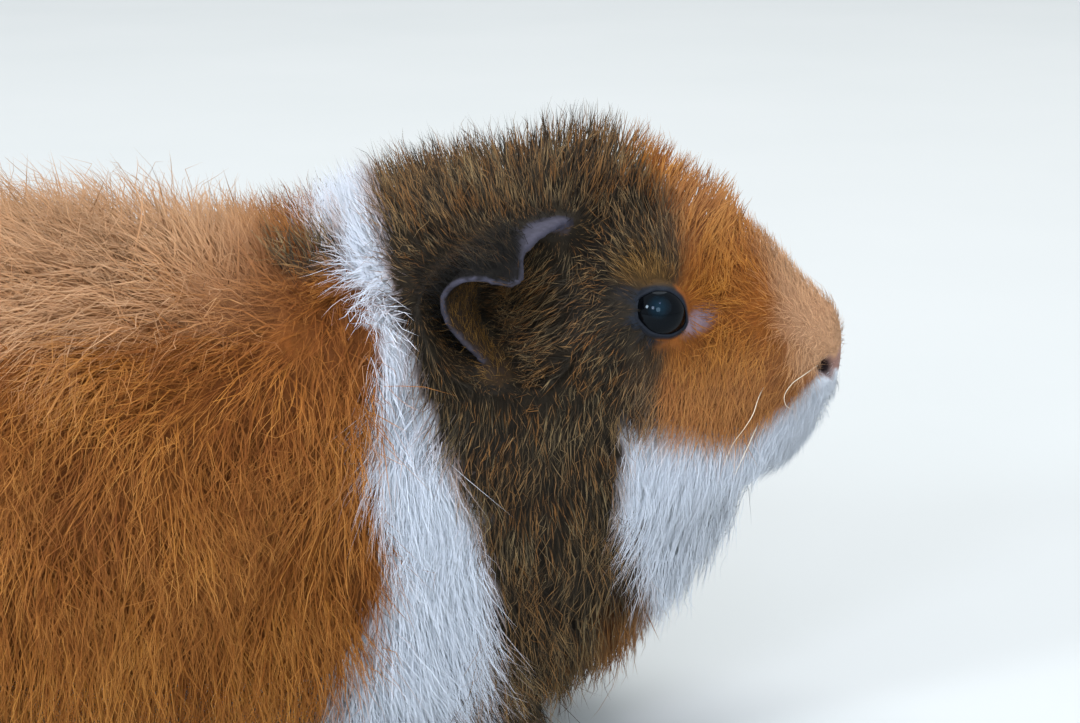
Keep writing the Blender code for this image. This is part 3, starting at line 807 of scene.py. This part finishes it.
def lay_out(nodes, carrier, outline):
    """Everything the coat needs to know at each point of the carrier."""
    mesh = carrier.data
    points, normal = positions(mesh), normals(mesh)
    ear, leg, foot = limb_shares(nodes, points)
    depth, lift, way = planned(points)
    depth = np.minimum(depth, distances(outline, points) + 0.4)
    swirl = 0.75 * ripple(points, 17, 21) * smooth_step(SHORT_BELOW, SHORT_BELOW + 3, depth)
    way = away_from_eye(points, way + np.cross(normal, way) * swirl[:, None])
    edge = ear_edge(points, normal, edges(mesh), ear)
    hole = np.array(EAR_HOLE) * np.where(points[:, 1:2] < 0, (1, -1, 1), (1, 1, 1))
    inside = smooth_step(-0.1, 0.3, dot(unit(hole - points), normal)) * ear
    for share, its_depth, its_lift, its_way in (
        (ear, EAR_FUR_DEPTH + EAR_BACK_FUR * (1 - inside), 0.30 + 0.2 * (1 - inside), (-0.8, 0, 0.5)),
        (leg, LEG_DEPTH + 0.6, 0.30, (0.1, 0, -1)),
        (foot, 0.7, 0.25, (1, 0, -0.3)),
    ):
        depth = depth * (1 - share) + its_depth * share
        lift = lift * (1 - share) + its_lift * share
        way = way * (1 - share)[:, None] + np.array(its_way, float) * share[:, None]
    from_lids, lid = round_eyes(points)
    density = thickness(points, normal, from_lids)
    density *= 1 - edge
    for name, share in (("ear", ear), ("foot", foot), ("leg", leg)):
        density *= 1 - THINNED[name] * share
    return {
        "point": points, "normal": normal, "depth": depth, "lift": lift, "way": way,
        "density": density, "ear": ear, "edge": edge, "inside": inside, "foot": foot,
        # painted shade: in the ears' hollows, on their backs and behind them
        "lid": lid, "dim": ear_shade(points, ear, inside), "white": markings(points)[0],
    }


class Ground:
    """The carrier as arrays, from which roots of hairs are drawn."""

    def __init__(self, nodes, carrier, outline):
        mesh = carrier.data
        mesh.calc_loop_triangles()
        self.corners = read(mesh.loop_triangles, "vertices", 3, np.int32)
        loops = read(mesh.loop_triangles, "loops", 3, np.int32)
        self.uv = read(mesh.uv_layers.active.data, "uv", 2)[loops]
        self.field = lay_out(nodes, carrier, outline)
        a, b, c = (self.field["point"][self.corners[:, i]] for i in range(3))
        self.area = np.linalg.norm(np.cross(b - a, c - a), axis=1) / 2

    def draw(self, count, weight, rng):
        """Values of every field at random roots, thickest where weight is greatest."""
        chance = self.area * weight[self.corners].mean(axis=1)
        ends = np.cumsum(chance)
        places = (np.arange(count) + rng.random(count)) / count * ends[-1]
        chosen = np.minimum(np.searchsorted(ends, places), len(ends) - 1)
        first, second = rng.random(count), rng.random(count)
        flip = first + second > 1
        first, second = np.where(flip, 1 - first, first), np.where(flip, 1 - second, second)
        shares = np.stack([1 - first - second, first, second], 1)
        corners = self.corners[chosen]
        found = {}
        for key, values in self.field.items():
            found[key] = np.einsum("nc,nc...->n...", shares, values[corners])
        found["uv"] = np.einsum("nc,ncd->nd", shares, self.uv[chosen])
        found["normal"] = unit(found["normal"])
        return found


def hair_weights(field):
    """How thickly clumps and the long, under and short hairs grow at each point."""
    point, density = field["point"], field["density"]
    is_short = smooth_step(SHORT_BELOW + 1.2, SHORT_BELOW - 1.2, field["depth"])
    near_side = smooth_step(10, -30, point[:, 1])
    seen = (1 + NEAR_SIDE_CROWDING * near_side) * (1 + WHITE_CROWDING * field["white"])
    chest = blob(point * (1, 0.6, 1), (86, 0, 18), 1, 26, 12)
    standing = smooth_step(0.60, 0.88, field["lift"])
    back = smooth_step(86, 98, point[:, 2]) * smooth_step(48, 36, point[:, 0])
    filled = np.maximum.reduce([standing, 0.7 * chest, 0.75 * back])
    clumps = density * (0.3 + 2.0 * is_short) + 0.02
    long = density * (1 - is_short) * seen
    return clumps, long, long * (0.6 + 2.4 * filled), density * (is_short + 0.06) * seen


# ---- hairs


def hair_paths(root, steps, rng, reach, unruly, droop):
    """Points along each hair, shape (hairs, steps + 1, 3), and the hairs' lengths."""
    count = len(root["depth"])
    normal, way = root["normal"], root["way"]
    wander = rng.normal(size=(count, 3)) * unruly[:, None]
    flat = way - dot(way, normal)[:, None] * normal + wander
    flat -= dot(flat, normal)[:, None] * normal
    slope = root["lift"] * STANDING + rng.normal(size=count) * SLOPE_CHANCE * (0.4 + unruly)
    slope = np.clip(slope, LOWEST, STEEPEST)
    length = np.clip(root["depth"] * reach / np.sin(np.clip(slope, 0.3, STEEPEST)), 0.7, LONGEST)
    curve = 0.55 * (1 - 0.5 * root["lift"])
    path = np.empty((count, steps + 1, 3))
    path[:, 0] = root["point"] - normal * ROOT_DEPTH
    for step in range(steps):
        along = (step + 0.5) / steps
        angle = np.clip(slope + (0.5 - along) * curve, 0.05, 1.55)
        heading = normal * np.sin(angle)[:, None] + flat * np.cos(angle)[:, None]
        heading[:, 2] -= droop * along
        path[:, step + 1] = path[:, step] + unit(heading) * (length / steps)[:, None]
    stands = dot(path[:, -1] - path[:, 0], normal)
    shrink = np.minimum(1, TALLEST * root["depth"] / np.maximum(stands, 0.1))
    path = path[:, :1] + (path - path[:, :1]) * shrink[:, None, None]
    return path, length * shrink


def gather(path, length, root, clumps, strength):
    """Draws each hair towards the middle hair of its clump, more so near the tip."""
    tree, middle_path, middle_length, middle_root = clumps
    nearest = np.array([tree.find(p)[1] for p in root["point"]])
    offset = root["point"] - middle_root[nearest]
    scale = (length / middle_length[nearest])[:, None]
    steps = path.shape[1] - 1
    for step in range(1, steps + 1):
        along = step / steps
        position = along * (middle_path.shape[1] - 1)
        low = min(int(position), middle_path.shape[1] - 2)
        part = position - low
        middle = middle_path[nearest, low] * (1 - part) + middle_path[nearest, low + 1] * part
        shift = (middle - middle_path[nearest, 0]) * scale
        target = path[:, 0] + shift - offset * (0.75 * along)
        pull = (strength * along**0.8)[:, None]
        path[:, step] = path[:, step] * (1 - pull) + target * pull
    return nearest


def wave(path, length, rng, amount, waves):
    """Bends each hair from side to side, as a rex coat's hairs are."""
    count, rings = path.shape[0], path.shape[1]
    across = unit(rng.normal(size=(count, 3)))
    other = unit(rng.normal(size=(count, 3)))
    phase = rng.random(count) * 2 * math.pi
    for ring in range(1, rings):
        along = ring / (rings - 1)
        turn = phase + 2 * math.pi * waves * along
        swing = across * np.sin(turn)[:, None] + other * np.cos(1.3 * turn)[:, None]
        path[:, ring] += swing * (amount * length * (0.3 + 0.7 * along))[:, None]


def spikes(path, width, root, rng):
    """Closed three-sided spikes along the paths.

    Gives their points, the ways the points face, triangles and places on the map.
    """
    count, rings = path.shape[0], path.shape[1]
    steps = rings - 1
    heading = np.empty_like(path)
    heading[:, 0] = path[:, 1] - path[:, 0]
    heading[:, -1] = path[:, -1] - path[:, -2]
    heading[:, 1:-1] = path[:, 2:] - path[:, :-2]
    heading = unit(heading)
    sideways = unit(np.cross(heading, root["normal"][:, None, :]) + 1e-4)
    upward = np.cross(heading, sideways)
    start = rng.random(count) * 2 * math.pi
    softness = (NORMAL_SOFTNESS + (WHITE_SOFTNESS - NORMAL_SOFTNESS) * root["white"])[:, None]
    size = 3 * steps + 1
    points, facing = np.empty((count, size, 3)), np.empty((count, size, 3))
    facing[:, -1] = root["normal"]
    points[:, -1] = path[:, -1]
    for ring in range(steps):
        girth = width * np.polyval(GIRTH, ring / steps)
        for corner in range(3):
            angle = start + corner * 2 * math.pi / 3
            cosine, sine = np.cos(angle)[:, None], np.sin(angle)[:, None]
            spoke = sideways[:, ring] * cosine + FLATNESS * upward[:, ring] * sine
            points[:, ring * 3 + corner] = path[:, ring] + spoke * (girth / 2)[:, None]
            facing[:, ring * 3 + corner] = unit(unit(spoke) * (1 - softness) + root["normal"] * softness)
    triangles, patch = spike_pattern(steps)
    faces = triangles[None] + (np.arange(count) * size)[:, None, None]
    spots = root["uv"][:, None, None, :] + patch[None] * PATCH
    return points.reshape(-1, 3), facing.reshape(-1, 3), faces.reshape(-1, 3), spots.reshape(-1, 2)


def spike_pattern(steps):
    """One spike's triangles, and each corner's place on its patch of the map."""
    triangles, patch = [(0, 2, 1)], [((0, 0), (1, 0), (0.5, 0))]
    tip = 3 * steps
    for corner in range(3):
        after = (corner + 1) % 3
        left, right = corner / 3, (corner + 1) / 3
        for ring in range(steps - 1):
            a, b = ring * 3 + corner, ring * 3 + after
            c, d = b + 3, a + 3
            low, high = ring / steps, (ring + 1) / steps
            triangles += [(a, b, c), (a, c, d)]
            patch += [((left, low), (right, low), (right, high)), ((left, low), (right, high), (left, high))]
        a, b = tip - 3 + corner, tip - 3 + after
        low = (steps - 1) / steps
        triangles.append((a, b, tip))
        patch.append(((left, low), (right, low), ((left + right) / 2, 1)))
    return np.array(triangles), np.array(patch, float) - 0.5


def tuft_chance(tuft):
    """A number from 0 to 1 that looks random, the same for all hairs of a tuft."""
    return np.modf(np.sin(tuft * 12.9898 + 4.1) * 43758.5453)[0] % 1


def make_hairs(root, kind, rng, clumps):
    """A batch of one kind of hair as arrays, with what the material needs at each point."""
    count = len(root["depth"])
    calm = WHITE_CALM * root["white"]
    reach = rng.uniform(*kind.reach, count) * (1 + BULGE * brow_bulge(root["point"]))
    unruly = kind.unruly * (1 - calm + TOP_UNRULINESS * top_light(root["point"]))
    path, length = hair_paths(root, kind.steps, rng, reach, unruly, kind.droop)
    strength = kind.gather * rng.uniform(0.6, 1.1, count) * (1 - 0.7 * root["ear"]) * (1 - calm)
    tuft = gather(path, length, root, clumps, strength)
    wave(path, length, rng, kind.wave * rng.uniform(0.3, 1.3, count) * (1 - calm), kind.waves)
    path[..., 2] = np.maximum(path[..., 2], FLOOR_CLEARANCE)
    fine = np.clip(0.5 + 0.13 * root["depth"], 0.5, 1)
    width = kind.width * rng.uniform(0.7, 1.2, count) * fine * (1 - WHITE_FINENESS * root["white"])
    points, facing, faces, spots = spikes(path[:, kind.hidden :], width, root, rng)
    middle = 0.5 * path[:, round(0.6 * kind.steps)] + 0.5 * root["point"]
    shades = coat_values(middle, root["point"], root["ear"], root["inside"], HAIR_MARKING_SOFTNESS)
    shades["chance"] = rng.random(count)
    shades["tuft"] = tuft_chance(tuft)
    # The hair takes the painted shade of the ears' hollows and backs, and the dark of the lids.
    shades["dim"] = np.maximum.reduce([root["dim"], 0.8 * root["lid"], hollow_shade(middle)])
    made = kind.steps - kind.hidden
    values = {key: np.repeat(value, 3 * made + 1) for key, value in shades.items()}
    rings = np.append(np.repeat(np.arange(made), 3), made)
    values["along"] = np.tile((rings + kind.hidden) / kind.steps, count)
    return points, faces, spots, values, facing


def mesh_from(name, batches):
    """One mesh from batches of hairs, with its map and its values for the material."""
    points, faces, spots, values, facing = zip(*batches)
    firsts = np.cumsum([0] + [len(batch) for batch in points])
    faces = np.concatenate([batch + first for batch, first in zip(faces, firsts)])
    points = np.concatenate(points) * MM
    mesh = bpy.data.meshes.new(name)
    mesh.vertices.add(len(points))
    mesh.vertices.foreach_set("co", points.astype(np.float32).ravel())
    mesh.loops.add(faces.size)
    mesh.loops.foreach_set("vertex_index", faces.astype(np.int32).ravel())
    mesh.polygons.add(len(faces))
    mesh.polygons.foreach_set("loop_start", np.arange(0, faces.size, 3, dtype=np.int32))
    mesh.update()
    layer = mesh.uv_layers.new(name="OFBake")
    layer.data.foreach_set("uv", np.concatenate(spots).astype(np.float32).ravel())
    store(mesh, {key: np.concatenate([batch[key] for batch in values]) for key in values[0]})
    mesh.shade_smooth()
    mesh.normals_split_custom_set_from_vertices(np.concatenate(facing).astype(np.float32))
    return mesh


def add_coat_piece(name, batches, material):
    piece = add_object(name, mesh_from(name, batches))
    piece.data.materials.append(material)
    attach(piece, "root")


def make_coat(nodes, skin, outline):
    """The coat's layers and its stray hairs. Gives what was laid out on the skin."""
    carrier = unwrapped_carrier(skin)
    ground = Ground(nodes, carrier, outline)
    bpy.data.objects.remove(carrier, do_unlink=True)
    crowded, *weights = hair_weights(ground.field)
    rng = np.random.default_rng(CLUMP_SEED)
    middles = ground.draw(CLUMPS, crowded, rng)
    unruly = np.full(CLUMPS, CLUMP_UNRULY)
    paths, lengths = hair_paths(middles, CLUMP_STEPS, rng, np.ones(CLUMPS), unruly, CLUMP_DROOP)
    clumps = (point_tree(middles["point"]), paths, lengths, middles["point"])
    material = coat_material()
    for layer in range(1, LAYERS + 1):
        rng = np.random.default_rng(LAYER_SEED + layer)
        roots = [ground.draw(kind.count, weight, rng) for kind, weight in zip(LAYER_KINDS, weights)]
        batches = [make_hairs(root, kind, rng, clumps) for root, kind in zip(roots, LAYER_KINDS)]
        add_coat_piece(f"coat_{layer}", batches, material)
    rng = np.random.default_rng(STRAY_SEED)
    root = ground.draw(STRAY.count, weights[0] * (0.4 + ground.field["lift"]), rng)
    add_coat_piece("locks", [make_hairs(root, STRAY, rng, clumps)], material)
    return ground.field


# ---- materials


def tint(red, green, blue):
    """An sRGB colour from 0 to 255 as Blender's linear RGBA."""
    levels = [c / 255 for c in (red, green, blue)]
    return tuple(c / 12.92 if c < 0.04045 else ((c + 0.055) / 1.055) ** 2.4 for c in levels) + (1.0,)


def grey(level):
    return (level, level, level, 1)


class Graph:
    """A material's nodes, added one call at a time."""

    def __init__(self, name, roughness, specular):
        self.material = bpy.data.materials.new(name)
        self.material.use_nodes = True
        self.tree = self.material.node_tree
        self.shader = self.tree.nodes["Principled BSDF"]
        self.shader.inputs["Roughness"].default_value = roughness
        self.shader.inputs["Specular IOR Level"].default_value = specular

    def join(self, value, socket):
        if isinstance(value, bpy.types.NodeSocket):
            self.tree.links.new(value, socket)
        else:
            socket.default_value = value

    def node(self, kind, output, inputs, **settings):
        """Adds a node with its settings and inputs, and gives one of its outputs."""
        node = self.tree.nodes.new("ShaderNode" + kind)
        for key, value in settings.items():
            setattr(node, key, value)
        for key, value in inputs.items():
            self.join(value, node.inputs[key])
        return node.outputs[output]

    def stored(self, name):
        return self.node("Attribute", "Fac", {}, attribute_name=name)

    def math(self, operation, first, second, clamp=False):
        return self.node("Math", 0, {0: first, 1: second}, operation=operation, use_clamp=clamp)

    def times(self, first, second, clamp=False):
        return self.math("MULTIPLY", first, second, clamp)

    def mix(self, share, first, second, blend="MIX"):
        return self.node("Mix", 2, {0: share, 6: first, 7: second}, data_type="RGBA", blend_type=blend)

    def ramp(self, value, *stops):
        output = self.node("ValToRGB", 0, {0: value})
        elements = output.node.color_ramp.elements
        while len(elements) < len(stops):
            elements.new(0.5)
        for element, (place, colour) in zip(elements, stops):
            element.position = place
            element.color = colour
        return output

    def place(self):
        return self.node("TexCoord", "Object", {})

    def noise(self, scale, detail=3.0, stretch=None):
        place = self.place()
        if stretch:
            place = self.node("Mapping", "Vector", {"Vector": place, "Scale": stretch})
        return self.node("TexNoise", "Fac", {"Vector": place, "Scale": scale, "Detail": detail})

    def bump(self, height, strength, distance):
        inputs = {"Height": height, "Strength": strength, "Distance": distance}
        self.join(self.node("Bump", "Normal", inputs), self.shader.inputs["Normal"])

    def colour(self, value):
        self.join(value, self.shader.inputs["Base Color"])


def coat_colour(graph, along, chance, tuft):
    """The coat's colour from the stored markings, how far along the hair, and luck."""
    tuft_shade = graph.ramp(tuft, (0.0, (0.74, 0.70, 0.66, 1)), (1.0, (1.10, 1.08, 1.06, 1)))
    ginger = ginger_colour(graph, along)
    agouti = agouti_colour(graph, along, chance, tuft)
    found = graph.mix(graph.stored("agouti"), ginger, agouti)
    found = graph.mix(graph.times(graph.stored("pale"), 0.72), found, tint(238, 192, 152))
    found = graph.mix(0.8, found, tuft_shade, blend="MULTIPLY")
    white = graph.mix(graph.times(along, 1.6, clamp=True), tint(218, 223, 230), tint(216, 222, 232))
    found = graph.mix(graph.stored("white"), found, white)
    # Painted shade in and behind the ears, and the lids' dark, turn the hair nearly black, its tips less.
    tips = graph.ramp(along, (0.55, grey(0.97)), (1.0, grey(0.55)))
    return graph.mix(graph.times(graph.stored("dim"), tips), found, tint(8, 7, 6))


def ginger_colour(graph, along):
    """Rusty at the root and orange on the body. Darker drifts hold some painted shade, and the back's top is
    lighter, partly paler hair and partly painted light from above.
    """
    curls = graph.ramp(graph.noise(330, 2), (0.38, grey(0)), (0.62, grey(1)))
    # darker drifts, with painted shade along the flank's crease and behind the collar
    drifts = graph.times(graph.stored("deep"), 0.7)
    deep = graph.math("ADD", drifts, graph.times(curls, 0.35), clamp=True)
    # the back's top painted lighter: paler hair and painted light from above
    light = graph.times(graph.stored("light"), 0.88)
    gilt = graph.times(graph.stored("tuft"), 0.7)
    root = graph.mix(graph.noise(95), tint(136, 81, 33), tint(156, 98, 43))
    root = graph.mix(light, root, tint(178, 130, 88))
    body = graph.mix(gilt, tint(170, 100, 40), tint(186, 126, 50))
    body = graph.mix(deep, body, tint(116, 63, 22))
    body = graph.mix(light, body, tint(188, 143, 104))
    tips = graph.mix(gilt, tint(188, 129, 68), tint(210, 157, 84))
    tips = graph.mix(deep, tips, tint(140, 84, 34))
    tips = graph.mix(light, tips, tint(206, 172, 138))
    ginger = graph.mix(graph.times(along, 2.0, clamp=True), root, body)
    tipward = graph.math("SUBTRACT", graph.times(along, 2.2), 1.2, clamp=True)
    return graph.mix(graph.times(tipward, 0.8), ginger, tips)


def agouti_colour(graph, along, chance, tuft):
    """Dark hair banded with gold near its tip, with richer gold where it is stored."""
    band = graph.ramp(along, (0.0, grey(0)), (0.45, grey(0.06)), (0.70, grey(1)), (1.0, grey(0.45)))
    ticked = graph.ramp(chance, (0.25, grey(0.04)), (0.80, grey(1)))
    gold = graph.mix(tuft, tint(150, 102, 52), tint(138, 118, 84))
    dark = graph.mix(tuft, tint(32, 30, 26), tint(55, 48, 37))
    agouti = graph.mix(graph.times(band, ticked), dark, gold)
    rich = graph.mix(graph.times(along, 1.0, clamp=True), tint(58, 44, 20), tint(170, 124, 56))
    return graph.mix(graph.times(graph.stored("gold"), 0.75), agouti, rich)


def coat_material():
    graph = Graph("coat", 0.62, 0.12)
    graph.colour(coat_colour(graph, graph.stored("along"), graph.stored("chance"), graph.stored("tuft")))
    return graph.material


def skin_material():
    """Short undercoat with the coat's markings, and bare skin on ears, lids and feet, with painted shade
    under the coat, in the ears and in the nostrils.
    """
    graph = Graph("skin", 0.7, 0.15)
    fine = graph.noise(900, 4)
    coarse = graph.noise(260)
    under = coat_colour(graph, graph.times(fine, 0.62), coarse, coarse)
    shadow = graph.math("SUBTRACT", 0.35, graph.times(graph.stored("white"), 0.35))
    found = graph.mix(shadow, under, tint(120, 104, 92), blend="MULTIPLY")
    for stored, colour in (
        # the ears' skin, nearly black where shade is painted in the hole and on the back
        ("ear", graph.mix(graph.stored("dim"), tint(50, 38, 28), tint(8, 7, 7))),
        ("edge", graph.mix(fine, tint(48, 47, 56), tint(76, 74, 88))),
        ("foot", graph.mix(coarse, tint(150, 112, 104), tint(92, 72, 70))),
        ("bare", graph.mix(fine, tint(118, 102, 112), tint(148, 128, 136))),
        ("lid", graph.mix(fine, tint(15, 18, 24), tint(33, 38, 47))),
        ("pad", graph.mix(fine, tint(132, 98, 90), tint(160, 124, 113))),
        # painted shade in the nostrils and along the mouth's line
        ("nostril", tint(30, 18, 20)),
    ):
        found = graph.mix(graph.stored(stored), found, colour)
    graph.colour(found)
    graph.bump(fine, 0.5, 0.0004)
    return graph.material


def eye_material(name, centre, reflection_way):
    """A nearly black eye, with a blue reflection painted high in the pupil."""
    graph = Graph("eye_" + name, 0.03, 0.13)
    graph.shader.inputs["Specular Tint"].default_value = EYE_GLOSS
    ends = {0: graph.place(), 1: Vector((centre + reflection_way * EYE_RADIUS) * MM)}
    reach = graph.node("VectorMath", "Value", ends, operation="DISTANCE")
    reach = graph.math("DIVIDE", reach, EYE_RADIUS * MM)
    reach = graph.math("ADD", reach, graph.times(graph.noise(1800), 0.12))
    # The first two colours are a painted reflection, blue and fading out; the iris is nearly black.
    painted_reflection, pupil, iris = tint(9, 34, 47), tint(7, 24, 34), tint(4, 5, 7)
    graph.colour(graph.ramp(reach, (0.05, painted_reflection), (0.24, pupil), (0.46, iris)))
    return graph.material


def claw_material():
    graph = Graph("claw_horn", 0.42, 0.45)
    streak = graph.noise(420, stretch=(0.25, 1, 1))
    graph.colour(graph.mix(streak, tint(58, 44, 38), tint(122, 102, 86)))
    graph.bump(streak, 0.25, 0.0003)
    return graph.material


def whisker_material():
    graph = Graph("whisker", 0.4, 0.4)
    graph.colour(graph.mix(graph.noise(300), tint(214, 196, 168), tint(236, 222, 200)))
    return graph.material


def floor_material():
    graph = Graph("floor", 0.75, 0.2)
    graph.colour(graph.mix(graph.noise(6), tint(200, 204, 204), tint(206, 209, 209)))
    return graph.material


# ---- whiskers


def make_whiskers():
    """Curled whiskers as thin closed tubes, the left side's a little different."""
    rng = np.random.default_rng(WHISKER_SEED)
    shape = bmesh.new()
    for _, sign in SIDES:
        for line in WHISKERS:
            points = np.array(line, float) * (1, -sign, 1)
            if sign > 0:
                drift = rng.normal(size=(len(points), 3)) * 0.7
                points = points + np.cumsum(drift, axis=0) * 0.6
            add_tube(shape, smooth_line(points, WHISKER_STEPS))
    whiskers = mesh_object("whiskers", shape)
    whiskers.data.shade_smooth()
    whiskers.data.materials.append(whisker_material())
    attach(whiskers, "root")


def smooth_line(points, steps):
    """A Catmull-Rom curve through the points."""
    ends = np.vstack([2 * points[0] - points[1], points, 2 * points[-1] - points[-2]])
    line = []
    for i in range(len(points) - 1):
        a, b, c, d = ends[i : i + 4]
        for t in np.arange(steps) / steps:
            bend = 2 * a - 5 * b + 4 * c - d
            twist = 3 * b - a - 3 * c + d
            line.append(0.5 * (2 * b + (c - a) * t + bend * t * t + twist * t**3))
    return np.array(line + [points[-1]])


def add_tube(shape, line, sides=6):
    """A tapering closed tube along the line."""
    count = len(line)
    rings = []
    for i, point in enumerate(line):
        heading = unit(line[min(i + 1, count - 1)] - line[max(i - 1, 0)])
        across = unit(np.cross(heading, (0.1, 0.2, 1.0)))
        other = np.cross(heading, across)
        radius = WHISKER_RADIUS * (1 - 0.8 * i / (count - 1))
        ring = []
        for side in range(sides):
            angle = 2 * math.pi * side / sides
            spoke = across * math.cos(angle) + other * math.sin(angle)
            ring.append(shape.verts.new(Vector((point + spoke * radius) * MM)))
        rings.append(ring)
    for before, after in zip(rings, rings[1:]):
        for side in range(sides):
            beside = (side + 1) % sides
            shape.faces.new((before[side], before[beside], after[beside], after[side]))
    shape.faces.new(rings[0][::-1])
    shape.faces.new(rings[-1])


# ---- the studio


def make_camera():
    eye = Vector(eye_frame("right", -1)[0]) * MM
    eye.y = EYE_SURFACE_Y_M
    pitch = math.radians(CAMERA_ELEVATION)
    back = Vector((0, -math.cos(pitch), math.sin(pitch)))
    up = Vector((0, math.sin(pitch), math.cos(pitch)))
    data = bpy.data.cameras.new("camera")
    data.lens = CAMERA_LENS
    data.sensor_width = 36
    width = CAMERA_DISTANCE_M * data.sensor_width / data.lens
    camera = add_object("camera", data)
    across = Vector((EYE_RIGHT_OF_MIDDLE * width, 0, 0))
    camera.location = eye + back * CAMERA_DISTANCE_M - across - up * (EYE_ABOVE_MIDDLE * width)
    camera.rotation_euler = (math.radians(90 - CAMERA_ELEVATION), 0, 0)
    bpy.context.scene.camera = camera


def make_light(name, place, target, size, power, colour):
    data = bpy.data.lights.new(name, "AREA")
    data.shape = "DISK"
    data.size = size
    data.energy = power
    data.color = colour
    light = add_object(name, data)
    light.location = place
    aim = Vector(target) - Vector(place)
    light.rotation_euler = aim.to_track_quat("-Z", "Y").to_euler()


def make_studio():
    shape = bmesh.new()
    bmesh.ops.create_circle(shape, cap_ends=True, segments=96, radius=FLOOR_RADIUS_M)
    floor = mesh_object("floor", shape)
    floor.data.materials.append(floor_material())
    floor.location.z = FLOOR_Z_M
    world = bpy.data.worlds.new("studio")
    world.use_nodes = True
    background = world.node_tree.nodes["Background"]
    background.inputs["Color"].default_value = tint(238, 243, 248)
    background.inputs["Strength"].default_value = WORLD_STRENGTH
    bpy.context.scene.world = world
    for lamp in LAMPS:
        make_light(*lamp)
    bpy.context.scene.view_settings.view_transform = "Standard"


def main():
    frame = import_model()
    nodes = frame["nodes"]
    make_camera()
    make_studio()
    skin, outline = make_skin(nodes)
    field = make_coat(nodes, skin, outline)
    finish_skin(skin, field)
    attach(skin, "root")
    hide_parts("head", "neck", "trunk", "ear_right", "ear_left")
    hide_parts(*["leg_" + leg for leg in LEGS], *["foot_" + leg for leg in LEGS])
    for name, sign in SIDES:
        make_eye(name, sign)
    make_whiskers()
    horn = claw_material()
    for name, node in nodes.items():
        if name.startswith("claw"):
            node.data.materials.clear()
            node.data.materials.append(horn)


main()
